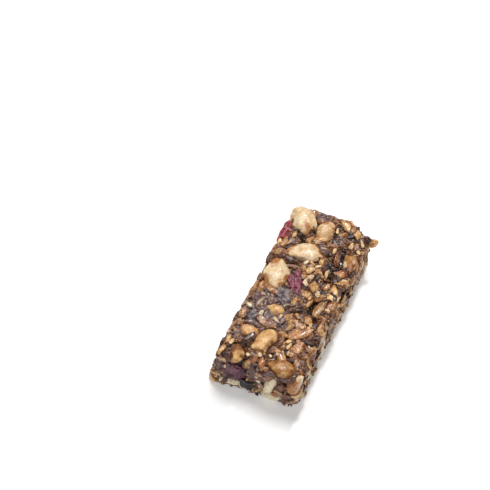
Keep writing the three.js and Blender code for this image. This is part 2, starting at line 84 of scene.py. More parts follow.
# The large pieces: CAD node, finish, centre, size (long, wide, high), turn in degrees (about Z,
# long axis up, about the long axis), how much syrup stains the piece, and its tone, which runs
# from the light end of the finish (0) to the dark end (1).
LARGE_PIECES = [
    ("peanut_1", "pale", (4.5, 11.2, 15.9), (17.6, 11, 7.2), (189, 0, 0), 0.2, 0.1),
    ("peanut_2", "pale", (19.4, 4.7, 15.9), (15.6, 11.2, 6.8), (112, 2, 4), 0.22, 0.45),
    ("peanut_3", "pale", (35.8, 11.4, 16), (16, 11, 7), (225, -3, -4), 0.24, 0.3),
    ("peanut_4", "pale", (34.7, 0.9, 15.8), (13, 7.8, 5.8), (-4, 0, 6), 0.4, 0.6),
    ("peanut_5", "golden", (-30, 2.7, 15.9), (15.8, 9, 6.6), (-20, 3, -6), 0.28, 0.3),
    ("peanut_6", "golden", (-27.8, 9.7, 16.1), (8.6, 7.4, 5.8), (70, 0, 8), 0.3, 0.4),
    ("peanut_7", "golden", (-39.2, 10.4, 16.2), (9.4, 6.6, 5.2), (4, -6, 12), 0.3, 0.25),
    ("peanut_8", "pale", (-41.6, -15.8, 13.2), (11.4, 7.2, 5), (-84, 58, 14), 0.85, 0.5),
    ("peanut_9", "golden", (4.2, -14.2, 15.2), (12.6, 6.4, 5.2), (10, 0, -20), 0.15, 0),
    ("nut_piece_1", "golden", (-13.2, 4.6, 16), (8.6, 6.4, 5), (85, 4, 0), 0.05, 0.05),
    ("nut_piece_2", "golden", (-4, 14.1, 15.8), (7.4, 5.2, 4.4), (15, 4, 12), 0.35, 0.7),
    ("seed_large_1", "large_seed", (-39.5, -8.4, 17), (11.6, 7.8, 4), (88, 2, 0), 0.2, 0.8),
    ("seed_large_2", "large_seed", (25.5, -13.9, 15.4), (12.8, 5.8, 4.2), (25, -4, -28), 0.4, 0.6),
    ("cranberry_1", "cranberry", (3.4, 2.3, 16), (14.8, 6.4, 5), (22, 0, 4), 0, 0.6),
    ("cranberry_2", "cranberry", (27, 16.9, 15.8), (13, 5.2, 5.6), (0, 2, 20), 0, 0),
    ("cranberry_3", "cranberry", (-41.7, 9.2, 9.4), (11, 6, 9.4), (90, 8, 0), 0, 0.9),
    ("raisin_1", "raisin", (-5.2, 4.6, 15.8), (9.4, 8.2, 5), (30, 0, 0), 0, 0),
    ("raisin_2", "raisin", (-20, 11, 15.4), (10.4, 7.4, 4.8), (-12, 0, 4), 0, 0.1),
    ("raisin_3", "raisin", (-42.1, 3.7, 4.2), (7, 5.6, 6.6), (90, 12, 0), 0, 1),
    ("slice_1", "slice", (-42.8, -5.9, 8), (12, 5, 3.4), (-84, 72, 90), 0.0, 0.2),
    ("slice_2", "slice", (-42.4, -7, 2.2), (9.6, 5, 4), (92, -6, 0), 0.0, 0),
    ("slice_3", "slice", (-16.2, -16.6, 6), (11, 4, 4.4), (-2, 56, 0), 0.0, -0.4),
    ("slice_5", "slice", (-42.4, 10.4, 2.5), (9.2, 4.6, 4), (86, -4, 0), 0.05, 0.1),
    ("peanut_10", "pale", (-12, 15.4, 7), (13.6, 7.2, 8.6), (4, 12, 0), 0.3, 0.5),
    ("cranberry_4", "cranberry", (13, 15.6, 6.4), (10.6, 6, 6.6), (-4, -10, 0), 0, 0.3),
    ("raisin_4", "raisin", (-30.6, 15.8, 6.6), (8, 5.4, 6.2), (6, 0, 0), 0, 0.6),
    ("slice_4", "slice", (32, 16.4, 5), (10, 4, 4.6), (2, 16, 0), 0.1, 0.2),
    ("peanut_11", "pale", (41.4, 8, 7.4), (13, 7.4, 7.8), (94, -10, 0), 0.25, 0.4),
    ("cranberry_5", "cranberry", (41.2, -7.6, 10.2), (9.6, 6, 6.8), (60, 8, 0), 0, 0.5),
    ("raisin_5", "raisin", (41.7, -2.6, 3.6), (7, 5.4, 5.4), (80, 0, 0), 0, 0.8),
    ("peanut_12", "pale", (-23, -6, 2.4), (14.6, 9.8, 6.6), (34, 0, 0), 0.3, 0.4),
    ("peanut_13", "pale", (5, 5, 2.4), (14, 9.4, 6.4), (-42, 0, 0), 0.2, 0.5),
    ("peanut_14", "golden", (26, -7, 2.2), (12.6, 8.4, 6), (100, 0, 0), 0.3, 0.2),
    ("cranberry_6", "cranberry", (-8, -7.6, 1.8), (11.4, 7.4, 5), (-24, 0, 0), 0, 0.6),
    ("raisin_6", "raisin", (18, 8, 1.8), (9, 7, 5), (50, 0, 0), 0, 0.5),
]

# Kernels on the top in known places: x, y, turn in degrees, length, width, tone and syrup.
TOP_KERNELS = [
    (-40.7, -0.9, 15, 6, 2.8, 0.6, 0.4), (-28, -10.8, -17, 10.3, 4.6, 0.5, 0.3),
    (-21.1, -9.9, -42, 11, 5, 0.2, 0.2), (-34.9, -13.7, 25, 7.5, 3, 0.7, 0.5),
    (-42.2, 4.3, 0, 4.2, 3.5, 0.3, 0.1), (-24.3, -3.4, -85, 4.2, 2.9, 0, 0),
    (-40, 16, -5, 6, 2.6, 0, 0.1), (-34.8, 15.8, 0, 4.4, 2.4, 0.2, 0.2),
    (-25.3, 15.4, 10, 5.4, 3, 0.7, 0.7), (-19.8, 15.9, 5, 7.7, 3, 0.7, 0.6),
    (-17.6, -4.2, 10, 5.8, 2.6, 0.3, 0.2), (-6, 16.6, -5, 8.4, 2.6, 0.4, 0.2),
    (-6, -1.2, 0, 5.5, 3.2, 0.4, 0.5), (-1.3, -3.7, 70, 6, 4.5, 0.7, 0.5),
    (3.7, -5.8, 10, 6.2, 4.4, 0.4, 0.2), (11.1, 2, 25, 4.2, 2.4, 0, 0), (12.4, -0.8, 5, 5.6, 2.8, 0, 0),
    (-4.5, -7, -12, 5.6, 2, 0.1, 0.1), (-5.3, -11.6, -12, 10.8, 4.2, 0.7, 0.4),
    (6.2, -10.5, -10, 4.8, 2.4, 0.3, 0.1), (-13, -9.2, 40, 5.4, 4.2, 0.3, 0.3),
    (-16.8, -6.8, 60, 8, 4, 0.4, 0.2), (-14.8, -15.9, 18, 7.6, 3, 0.6, 0.3),
    (-12.1, 11.3, -8, 7, 2.2, 0.4, 0.5), (-10.4, 13.5, 0, 6.4, 2.8, 0.8, 0.9),
    (12, -4.8, 75, 4.8, 3.4, 0.5, 0.3), (-14.6, -2.1, -20, 5.2, 4, 0.7, 0.7),
    (21.8, 14.6, 3, 9.2, 3, 0.3, 0.3), (26.9, 12.1, 0, 5.4, 2, 0.4, 0.3),
    (27.7, 5, -45, 5, 2.6, 0.3, 0.2), (23.2, -8.6, 15, 9, 2.8, 0.7, 0.4),
    (15, -13.1, 80, 6.4, 5, 0.6, 0.4), (22.8, -4.2, -10, 4.2, 2.8, 0.8, 0.8),
    (17.8, -4.1, -10, 4.4, 2.6, 0.3, 0.3), (41.6, -5.6, 30, 9, 4, 0.1, 0.2),
    (37.6, -12.2, 20, 6.4, 4, 0.1, 0.2), (41.8, 14, 75, 5, 2.6, 0.8, 0.6),
    (41.8, 9, 20, 5, 2.6, 0.7, 0.5), (31.3, -3.5, 20, 3.6, 2.4, 0, 0),
    (35.2, -6.6, -30, 5, 3, 0.6, 0.5), (39.4, -9.8, 0, 4.4, 3, 0.3, 0.2),
]

# Kernels in the sides in known places: centre, turn, length, width, tone and syrup.
SIDE_KERNELS = [
    ((-43.6, 18.8, 2.2), (66, 18, 0), 7.4, 4.2, 0.1, 0.1),
    ((44.4, -2.6, 8.6), (96, -14, 20), 10, 4.6, 0.3, 0.3),
    ((-17.6, -17.4, 14.8), (8, -16, 50), 9.4, 4.6, 0.6, 0.3),
    ((-34, -17.4, 13.4), (-14, 20, 60), 9.4, 4.4, 0.4, 0.3),
    ((3, -17.5, 5.6), (0, -8, 60), 8.8, 4.6, -0.2, 0),
    ((29, -17.6, 11), (4, -24, 60), 10, 4.2, 0.2, 0.2),
]

# Pale seeds and crumbs on the top in known places: x, y, turn, length, width.
TOP_BITS = [
    (-34.1, 9.4, 5, 3.4, 2.2), (-34.3, -5.7, 60, 2.4, 1.8), (-36.2, -2.9, 20, 2, 1.5),
    (-32.7, -6.3, 0, 1.7, 1.4), (-34.3, 0.4, 40, 1.5, 1.2), (-24.8, 0.7, 0, 1.6, 1.3),
    (-38.8, 5.9, 30, 1.7, 1.3), (-17.9, 8.6, -20, 2.3, 1.8), (26.9, 1.9, 10, 2.3, 1.7),
    (14.1, 1.8, 0, 2.4, 1.8), (5, 1.3, -10, 3, 1.7), (4, -1.9, 20, 3, 2), (7.8, -2.5, -30, 2.8, 2.4),
    (10.2, -8.3, 20, 1.7, 1.4), (6.2, 0.4, 60, 1.8, 1.4), (1.1, -8.2, 20, 2.6, 2),
]

# Crumbs that stand out past the cut sides: centre, size and turn.
STRAY_CRUMBS = [((38.6, -18.8, 13.9), (6, 3.4, 2.8), (-62, 12, 0))]

# Where the paste lies bare, with a purple-grey painted sheen on it: x, y and reach.
BARE_SHEEN_SPOTS = [
    (-15, 8, 10), (-19, 1, 5), (24.8, -1.5, 3), (22.5, 11.5, 3), (42, 4, 5), (-1, 1, 4), (-31, 15, 4),
    (31, -6.5, 3.6), (16.5, -8.5, 3.4),
]

# Parts of the sides where the paste lies bare: centre and reach.
BARE_SIDES = [((-44, 9, 10), 8), ((-44, -1, 8), 4.5), ((-43.5, -12.5, 12.5), 4.6)]

# Parts of the sides with kernels but few crumbs.
SMOOTH_SIDES = [
    ((-16, -18, 6), 5.5), ((-43, -13, 6), 7), ((-30, -18, 8), 5), ((8, -18, 12), 5), ((-44, 2, 14), 6),
]

# Places on the top with no small kernels or crumbs: centre and reach.
CLEAR_TOPS = [((-41, -14.3, 17.5), 3.2), ((0.6, 6.4, 17.5), 2.6), ((-35.6, 4.6, 17), 2)]

# Pale crumbs on the sides in known places: centre and size.
SIDE_BITS = [
    ((-43.6, 13.4, 11.4), (2.4, 2, 1.6)), ((-43.7, 13.8, 6.6), (2, 1.5, 1.4)),
    ((-43.5, 15.6, 6.4), (2.2, 1.8, 1.6)), ((-43.6, -0.4, 12.2), (2.8, 2, 1.8)),
    ((-43.6, -1.2, 9.4), (3.2, 2.2, 1.8)), ((-43.6, -2.2, 6.8), (2.6, 1.8, 1.6)),
    ((-43.7, 0.4, 3), (2, 1.6, 1.4)), ((-43.9, 14.4, 2.4), (3.4, 2.6, 2.2)),
    ((-43.9, 16.6, 3.4), (2.8, 2, 1.8)), ((-43.8, 5.8, 1.8), (2.4, 2, 1.8)),
    ((-42.6, 16.4, 14.6), (3.4, 2, 1.6)), ((-41.6, 17.2, 15.2), (3, 2, 1.6)),
]

# Brown stains on the large nuts, where positive, and clean spots: x, y, reach and strength.
STAINS = [
    (9.4, 13.6, 1.8, 0.8), (0.1, 14.4, 1.6, 0.9), (3.8, 6.2, 1.5, 1), (-1.4, 7, 1.5, 0.9),
    (6.6, 12.4, 1.8, 0.5), (4.4, 9, 1.1, 0.5), (1.6, 10.4, 2.6, -0.5), (32.2, 8.8, 1.1, 1),
    (30, 5.8, 1.6, 0.9), (37, 12, 3, -0.5), (12.6, 8.8, 1.6, 0.8), (14.4, 2, 1.6, 0.8),
    (20, 5, 3.6, -0.6), (-27.6, 4, 3, -0.5), (-31.6, -0.4, 2.2, 0.7), (-35.6, 2.4, 2, 0.5),
    (-37.6, 9.6, 2.4, 0.7), (-3.4, 9.8, 2.6, -0.8), (-13.4, 5, 3, -0.7), (4, -14.6, 5, -0.6),
]

# Broken shards in the near end: centre, length and width, slope of the long axis and tone.
END_SHARDS = [
    ((-43.9, -10.4, 9.6), (8, 4), -60, 0.5), ((-43.9, -13.2, 6.4), (6, 3.4), -30, 0.55),
    ((-43.9, -1.8, 13.2), (7, 3), -70, 0.55), ((-43.9, -5.2, 14.2), (5.4, 2.4), -78, 0.7),
    ((-43.9, -15.4, 4), (4.4, 2.2), -40, 0.75), ((-43.9, -2.2, 7.6), (4, 2.8), 20, 0.65),
    ((-43.9, 11.4, 12), (4, 1.8), 80, 0.6), ((-43.9, -9.2, 5), (4.6, 2.2), -20, 0.8),
]

KERNEL_SIZE = (9.7, 4.5, 2.8)
CRUMB_SIZE = (3.8, 3.04, 2.66)
SESAME_SIZE = (3.2, 2, 1.2)
CRISP_SIZE = (8, 3.4, 3)
KERNEL_SPACING = 6.6
TOP_TRIES = 420
CRUMB_SPACING = 4.9
CRISP_LEVEL = 6.5

# What only the fine pieces use: the grid of the paste, how deep its lumps, grit and cracks go, how
# near a piece it creeps up on it, how much chunks and flecks are chopped from, how ragged the cut
# sides are, and the sizes and numbers of the finest things.
FINE_CELL = 0.3
FAR_OFF = 9.0
PASTE_TRIANGLES = 190000
LUMPS, GRIT, CRACKS = 0.42, 0.42, 0.9
COLLAR = 1.2
CHUNK_HALF, FLECK_HALF = 0.62, 0.6
RAGGED, RAGGED_RIGHT = 0.35, 1.0
FINE_KERNEL_SIZE = (8.2, 3.6, 2.6)
FINE_CHUNK_SIZE = (3.6, 2.8, 2.2)
FINE_CRISP_SIZE = (5.4, 2.6, 2.2)
SHRED_SIZE = (4.4, 1.7, 1.0)
BIT_HEIGHT, SHARD_HEIGHT = 1.5, 1.6
FLECKS = 1900
FIBRES = 22


# ---- random numbers and noise ----

def stream(seed):
    """The same seeded stream of numbers from 0 to 1 as the solids use."""
    word = 0xFFFFFFFF
    state = seed

    def draw():
        nonlocal state
        state = (state + 0x6D2B79F5) & word
        mixed = ((state ^ (state >> 15)) * (1 | state)) & word
        mixed = ((mixed + (((mixed ^ (mixed >> 7)) * (61 | mixed)) & word)) ^ mixed) & word
        return (mixed ^ (mixed >> 14)) / 2 ** 32

    return draw


TINY = 1e-6
LATTICE_SIDE = 32
LATTICE = np.random.RandomState(7).uniform(-1, 1, (LATTICE_SIDE,) * 3).astype(np.float32)


def noise(points, size, shift=0.0):
    """Smooth noise from -1 to 1 with features of a size in mm, at points of shape (..., 3)."""
    scaled = points / size + shift
    cell = np.floor(scaled)
    part = scaled - cell
    part = part * part * (3 - 2 * part)
    cell = cell.astype(np.int32)
    total = np.zeros(points.shape[:-1], np.float32)
    for corner in np.ndindex(2, 2, 2):
        weight = 1.0
        for axis in range(3):
            share = part[..., axis]
            weight = weight * (share if corner[axis] else 1 - share)
        index = tuple((cell[..., axis] + corner[axis]) % LATTICE_SIDE for axis in range(3))
        total += (weight * LATTICE[index]).astype(np.float32)
    return total * 1.5


def fractal(points, size, octaves=3, shift=0.0):
    total, weight, reach = 0.0, 1.0, 0.0
    for octave in range(octaves):
        total = total + weight * noise(points, size / 2 ** octave, shift + 5.3 * octave)
        reach += weight
        weight *= 0.5
    return total / reach


def smooth_step(low, high, value):
    part = np.clip((value - low) / (high - low), 0, 1)
    return part * part * (3 - 2 * part)


# ---- outline and relief, as in the solids ----

def waves(x, y, z):
    long = np.sin(0.42 * x + 0.9 * y + 0.31 * z + 1)
    cross = np.sin(0.83 * x - 0.61 * y + 0.55 * z + 2.3)
    short = np.sin(-0.57 * x + 1.35 * y - 0.9 * z + 4.1)
    return 0.4 * long + 0.35 * cross + 0.25 * short


def depth_inside(x, y):
    """Distance, seen from above, to the bar's outline: positive inside."""
    near = np.where(y > 0, CORNERS["near_left"], CORNERS["near_right"])
    far = np.where(y > 0, CORNERS["far_left"], CORNERS["far_right"])
    radius = np.where(x < 0, near, far)
    reach = np.where(x < 0, NEAR_END[0], FAR_END[0])
    slope = np.where(x < 0, NEAR_END[1], FAR_END[1])
    out_x = np.abs(x - slope * y) - (reach - radius)
    out_y = np.abs(y) - (WIDTH / 2 - radius)
    corner = np.hypot(np.maximum(out_x, 0), np.maximum(out_y, 0))
    block = radius - corner - np.minimum(np.maximum(out_x, out_y), 0)
    broken = (BREAK_POINT[0] - x) * BREAK_NORMAL[0] + (BREAK_POINT[1] - y) * BREAK_NORMAL[1]
    return np.minimum(block, broken)


def move_to_depth(x, y, depth):
    step = 0.01
    for _ in range(6):
        here = depth_inside(x, y)
        slope_x = (depth_inside(x + step, y) - here) / step
        slope_y = (depth_inside(x, y + step) - here) / step
        steepness = np.maximum(slope_x ** 2 + slope_y ** 2, 0.2)
        x = x + slope_x * (depth - here) / steepness
        y = y + slope_y * (depth - here) / steepness
    return x, y


def fade(spot, x, y, z):
    """The reach of a hollow or lip at a point: all of it in the middle, none well outside."""
    at, half, reach = spot
    spread = ((x - at[0]) / half[0]) ** 2 + ((y - at[1]) / half[1]) ** 2
    return reach * np.exp(-spread - ((z - at[2]) / half[2]) ** 2)


def hollow_depth(x, y, z):
    return sum(fade(hollow, x, y, z) for hollow in HOLLOWS)


def edge_drop(inner):
    over = EDGE_RADIUS - np.clip(inner, 0, EDGE_RADIUS)
    return EDGE_RADIUS - np.sqrt(EDGE_RADIUS ** 2 - over ** 2)


def paste_level(x, y):
    drop = edge_drop(depth_inside(x, y) - RIM)
    return PASTE_TOP + RELIEF * waves(x, y, 0) - drop - hollow_depth(x, y, PASTE_TOP)


def spot_at(x, y, at_x, at_y, reach):
    """A round spot on the top: 1 in its middle, 0 well outside."""
    return np.exp(-((x - at_x) ** 2 + (y - at_y) ** 2) / reach ** 2)


def bare_sheen_at(x, y):
    """How bare the paste lies at places on the top, and how much purple-grey painted sheen it gets there,
    from 0 to 1.
    """
    return np.max([spot_at(x, y, *spot) for spot in BARE_SHEEN_SPOTS], axis=0)


# ---- places of the pieces ----

Thing = namedtuple("Thing", "at size turn tone syrup", defaults=(None, None))


def turned(turn):
    """Rotation about Z, then the long axis up, then about the long axis, in degrees."""
    yaw, pitch, roll = (math.radians(angle) for angle in turn)
    return np.array(Euler((roll, -pitch, yaw), "XYZ").to_matrix())


def shape_of_node(name):
    kind = name.rsplit("_", 1)[0]
    return OTHER_SHAPES.get(kind, kind)


LARGE_PLACES = [(np.array(row[2]), np.array(row[3]) / 2, turned(row[4])) for row in LARGE_PIECES]


def inside_large(at, margin):
    for centre, half, rotation in LARGE_PLACES:
        local = (np.array(at) - centre) @ rotation
        if np.sum((local / (half + margin)) ** 2) < 1:
            return True
    return False


def is_free(placed, at, spacing):
    for other in placed:
        x, y, z = other.at
        if math.hypot(x - at[0], y - at[1], 1.6 * (z - at[2])) <= spacing:
            return False
    return True


def on_top(x, y, rise):
    return (x, y, float(paste_level(x, y)) + rise)


def top_kernels(draw):
    placed = [
        Thing(on_top(x, y, 0.35), (length, width, KERNEL_SIZE[2]), (yaw, 0, 0), tone, syrup)
        for x, y, yaw, length, width, tone, syrup in TOP_KERNELS
    ]
    for _ in range(TOP_TRIES):
        d = [draw() for _ in range(6)]
        x, y = (d[0] - 0.5) * (LENGTH - 4), (d[1] - 0.5) * (WIDTH - 4)
        at = on_top(x, y, 0.5 * d[5])
        if depth_inside(x, y) > 2.4 and not inside_large(at, 1.2) and is_free(placed, at, KERNEL_SPACING):
            size = (8.6 + 2.2 * d[2], 4.1 + d[3], KERNEL_SIZE[2])
            placed.append(Thing(at, size, (360 * d[4], 24 * (d[2] - 0.5), 50 * (d[3] - 0.5))))
    return placed


def side_point(share, z, depth):
    """A point on the upright sides, from how far round the bar it lies."""
    round_ = share * 2 * (LENGTH + WIDTH)
    if round_ < 2 * LENGTH:
        x = round_ % LENGTH - LENGTH / 2
        y = WIDTH / 2 if round_ < LENGTH else -WIDTH / 2
    else:
        rest = round_ - 2 * LENGTH
        x = LENGTH / 2 if rest < WIDTH else -LENGTH / 2
        y = rest % WIDTH - WIDTH / 2
    x, y = move_to_depth(x, y, depth)
    return (float(x), float(y), z)


def is_near(at, spots):
    return any(math.dist(at, spot) < reach for spot, reach in spots)


def settle(placed, others, at, spacing, size, scale, turn):
    """Puts a thing down, unless one of the others or of those already placed is too near."""
    if is_free(others, at, spacing) and is_free(placed, at, spacing):
        placed.append(Thing(at, tuple(side * scale for side in size), turn))


def side_things(draw, others, tries, levels, spacing, size, tilt, margin=1.0, smooth=()):
    placed = []
    for _ in range(tries):
        d = [draw() for _ in range(7)]
        z = levels[0] + (levels[1] - levels[0]) * d[1]
        at = side_point(d[0], z, RIM + 0.9 * d[2])
        if not (inside_large(at, margin) or is_near(at, BARE_SIDES) or is_near(at, smooth)):
            turn = (360 * d[4], tilt * (d[5] - 0.5), tilt * (d[6] - 0.5))
            settle(placed, others, at, spacing, size, 0.85 + 0.3 * d[3], turn)
    return placed


def top_things(draw, others, tries, spacing, size, rise, margin=0.9, most_bare_sheen=1.0, most_hollow=math.inf):
    placed = []
    for _ in range(tries):
        d = [draw() for _ in range(5)]
        x, y = (d[0] - 0.5) * (LENGTH - 3), (d[1] - 0.5) * (WIDTH - 3)
        at = on_top(x, y, rise)
        free = depth_inside(x, y) > 1.6 and not inside_large(at, margin)
        free = free and not (most_hollow < math.inf and is_near(at, CLEAR_TOPS))
        free = free and bare_sheen_at(x, y) <= most_bare_sheen and hollow_depth(x, y, PASTE_TOP) < most_hollow
        if free:
            turn = (360 * d[3], 40 * (d[4] - 0.5), 40 * (d[2] - 0.5))
            settle(placed, others, at, spacing, size, 0.75 + 0.5 * d[2], turn)
    return placed


def floor_things(draw, tries, spacing, size, rise):
    """Things pressed flat into the underside."""
    placed = []
    for _ in range(tries):
        d = [draw() for _ in range(5)]
        x, y = (d[0] - 0.5) * (LENGTH - 4), (d[1] - 0.5) * (WIDTH - 4)
        at = (x, y, rise)
        if depth_inside(x, y) > 2.2 and not inside_large(at, 0.8):
            turn = (360 * d[3], 14 * (d[4] - 0.5), 30 * (d[2] - 0.5))
            settle(placed, [], at, spacing, size, 0.85 + 0.3 * d[2], turn)
    return placed


def torn_fibres(draw):
    """Long pale fibres where the bar is broken, hanging down its right side."""
    fibres = []
    for _ in range(FIBRES):
        x, z = 20 + 19 * draw(), 7 + 9 * draw()
        x, y = move_to_depth(x, -WIDTH / 2, 0.3)
        size = (6 + 5 * draw(), 0.9 + 0.5 * draw(), 0.7)
        turn = (10 * draw() - 5, 35 + 30 * draw(), 0)
        fibres.append(Thing((float(x), float(y), z), size, turn, 0.5 + 0.6 * draw(), 0.2))
    return fibres


def scatter():
    """All small pieces by kind. The first ones are those of the solids; finer ones fill between."""
    known = [
        Thing(at, (length, width, KERNEL_SIZE[2]), turn, tone, syrup)
        for at, turn, length, width, tone, syrup in SIDE_KERNELS
    ]
    top = top_kernels(stream(11))
    crisps = side_things(stream(23), known, 160, (1, CRISP_LEVEL), 7.5, CRISP_SIZE, 50)
    levels = (1.2, PASTE_TOP - 2)
    in_sides = side_things(stream(37), known + crisps, 600, levels, KERNEL_SPACING, KERNEL_SIZE, 70)
    kernels = top + known + in_sides
    taken = kernels + crisps
    chunks = top_things(stream(41), taken, 170, CRUMB_SPACING, CRUMB_SIZE, 0.2)
    sesame = top_things(stream(53), taken + chunks, 90, 3.4, SESAME_SIZE, 0.3)

    bits = [
        Thing(on_top(x, y, 0.9), (length, width, BIT_HEIGHT), (yaw, 0, 0), 0.0, 0.0)
        for x, y, yaw, length, width in TOP_BITS
    ]
    bits += [Thing(at, size, (90 * size[1], 50, 40), 0.0, 0.0) for at, size in SIDE_BITS]

    def beside(seed, others, tries, levels, *rest):
        return side_things(stream(seed), others, tries, levels, *rest, SMOOTH_SIDES)

    kernels += top_things(stream(61), top, 500, 5.0, FINE_KERNEL_SIZE, 0.35, 1.1, 0.45, 0.5)
    kernels += floor_things(stream(67), 900, 5.2, KERNEL_SIZE, 0.7)
    kernels += beside(71, in_sides + known, 1100, (1, PASTE_TOP - 0.8), 4.4, FINE_KERNEL_SIZE, 110, 1.2)
    chunks += top_things(stream(73), taken + bits, 800, 5.4, FINE_CHUNK_SIZE, 0.2, 1.1, 0.35, 0.5)
    chunks += beside(79, [], 900, (0.8, PASTE_TOP - 0.4), 4.2, FINE_CHUNK_SIZE, 180, 1.3)
    chunks += floor_things(stream(83), 600, 4.0, FINE_CHUNK_SIZE, 0.5)
    sesame += beside(97, [], 300, (0.8, PASTE_TOP - 1), 5.0, SESAME_SIZE, 160, 1.0)
    crisps += beside(101, crisps, 400, (0.9, CRISP_LEVEL), 4.6, FINE_CRISP_SIZE, 120, 1.2)
    crisps += floor_things(stream(103), 300, 5.0, FINE_CRISP_SIZE, 0.6)
    shreds = top_things(stream(107), bits, 1900, 2.2, SHRED_SIZE, 0.3, 1.0, 1.0, 0.8)
    shreds += beside(109, [], 2600, (0.6, PASTE_TOP), 2.3, SHRED_SIZE, 120, 1.6)
    shreds += floor_things(stream(113), 1200, 2.6, SHRED_SIZE, 0.3)
    shreds += torn_fibres(stream(131))
    shreds += [
        Thing(at, (length, width, SHARD_HEIGHT), (90, slope, 90), tone, 0.2)
        for at, (length, width), slope, tone in END_SHARDS
    ]
    stray = [Thing(at, size, turn) for at, size, turn in STRAY_CRUMBS]
    return {
        "kernels": kernels, "chunks": chunks, "stray_crumbs": stray, "shreds": shreds,
        "pale_bits": bits, "sesame": sesame, "crisps": crisps,
    }


# ---- shapes ----

def ball_grid(sides, rings):
    """Corners and triangles of a ball whose poles lie at -X and +X."""
    corners = [(-1.0, 0.0, 0.0)]
    for ring in range(1, rings):
        polar = math.pi * ring / rings
        for side in range(sides):
            angle = 2 * math.pi * side / sides
            ring_radius = math.sin(polar)
            corners.append((-math.cos(polar), ring_radius * math.cos(angle), ring_radius * math.sin(angle)))
    corners.append((1.0, 0.0, 0.0))
    triangles = []
    last = len(corners) - 1
    for side in range(sides):
        after = (side + 1) % sides
        triangles.append((0, 1 + after, 1 + side))
        for ring in range(rings - 2):
            a = 1 + ring * sides + side
            b = 1 + ring * sides + after
            triangles.append((a, b, b + sides))
            triangles.append((a, b + sides, a + sides))
        base = 1 + (rings - 2) * sides
        triangles.append((last, base + side, base + after))
    return np.array(corners), np.array(triangles)


def ico_ball(subdivisions):
    """Corners and triangles of an even ball."""
    made = bmesh.new()
    bmesh.ops.create_icosphere(made, subdivisions=subdivisions, radius=1)
    made.verts.index_update()
    corners = np.array([tuple(vertex.co) for vertex in made.verts])
    triangles = np.array([[vertex.index for vertex in face.verts] for face in made.faces])
    made.free()
    return corners, triangles


def drop_profile(along, tip):
    widest = ROUND_TIP / (ROUND_TIP + tip)
    most = widest ** ROUND_TIP * (1 - widest) ** tip
    return np.clip(along, 0, 1) ** ROUND_TIP * np.clip(1 - along, 0, 1) ** tip / most


def drop_shape(ball, size, tip, irregular):
    """A drop with its long axis along X and its sharper end at +X, as in the solids."""
    along = (ball[:, 0] + 1) / 2
    radius = np.hypot(ball[:, 1], ball[:, 2])
    round_ = np.where(radius > TINY, drop_profile(along, tip) / np.maximum(radius, TINY), 0)
    angle = np.arctan2(ball[:, 2], ball[:, 1])
    bulge = 1 + 0.05 * np.sin(3 * angle + irregular) + 0.04 * np.sin(7 * along + irregular)
    return np.stack([
        ball[:, 0] * size[0] / 2,
        ball[:, 1] * round_ * bulge * size[1] / 2,
        ball[:, 2] * round_ * bulge * size[2] / 2,
    ], 1)


def fruit_shape(ball, size, fold, often, irregular):
    a = np.sin(often * (ball[:, 0] + 0.6 * ball[:, 1]) * 1.7 + irregular)
    b = np.sin(often * (ball[:, 1] - 0.8 * ball[:, 2]) * 2.1 + 2 * irregular)
    scale = 1 + fold * (0.6 * a + 0.4 * b) - fold * 0.3
    return ball * scale[:, None] * np.array(size) / 2


def chopped(points, half, draw, cuts, least):
    """Flat faces knocked off a piece at random; least is how near the middle they may come."""
    unit = points / half
    for _ in range(cuts):
        normal = np.array([draw() - 0.5, draw() - 0.5, draw() - 0.5])
        normal /= np.linalg.norm(normal)
        height = least + (0.95 - least) * draw()
        over = np.maximum(unit @ normal - height, 0)
        unit = unit - np.outer(over, normal)
    return unit * half


def roughened(points, size, depth, shift):
    """Pushes points in and out along their direction from the middle."""
    outward = points / np.maximum(np.linalg.norm(points, axis=1), TINY)[:, None]
    return points + outward * (depth * noise(points, size, shift))[:, None]


def kernel_shape(ball, size, draw, at):
    stubby = size[1] > 0.58 * size[0]
    local = drop_shape(ball, size, TIPS["seed"], at[0])
    local = chopped(local, np.array(size) / 2, draw, 7 if stubby else 3, 0.5 if stubby else 0.6)
    local = roughened(local, 1.9, 0.3, at[1] * 0.7)
    local[:, 2] += (draw() - 0.5) * 0.05 * local[:, 0] ** 2
    local[:, 1] += (draw() - 0.5) * 0.06 * local[:, 0] ** 2
    return local


def chunk_shape(ball, size, draw, at):
    size = np.array(size)
    local = chopped(ball * size * CHUNK_HALF, size * CHUNK_HALF, draw, 8, 0.35)
    return roughened(local, 1.0, 0.1, at[0] * 0.7)


def shred_shape(ball, size, draw, _):
    """A torn sliver: a bent slab with ends knocked off."""
    half = np.array(size) / 2
    local = chopped(np.sign(ball) * np.abs(ball) ** 0.6 * half, half, draw, 4, 0.45)
    local[:, 2] += (draw() - 0.5) * 0.25 * local[:, 0] ** 2 / size[0]
    local[:, 1] += (draw() - 0.5) * 0.5 * local[:, 0] ** 2 / size[0]
    return local


def sesame_shape(ball, size, _, at):
    return drop_shape(ball, size, TIPS["sesame"], at[0])


def crisp_shape(ball, size, _, at):
    return roughened(drop_shape(ball, size, TIPS["crisp"], at[0]), 1.1, 0.3, at[1] * 0.3)


def fleck_shape(ball, size, draw, _):
    size = np.array(size)
    return chopped(ball * size * FLECK_HALF, size * FLECK_HALF, draw, 4, 0.45)


# ---- the paste's field ----

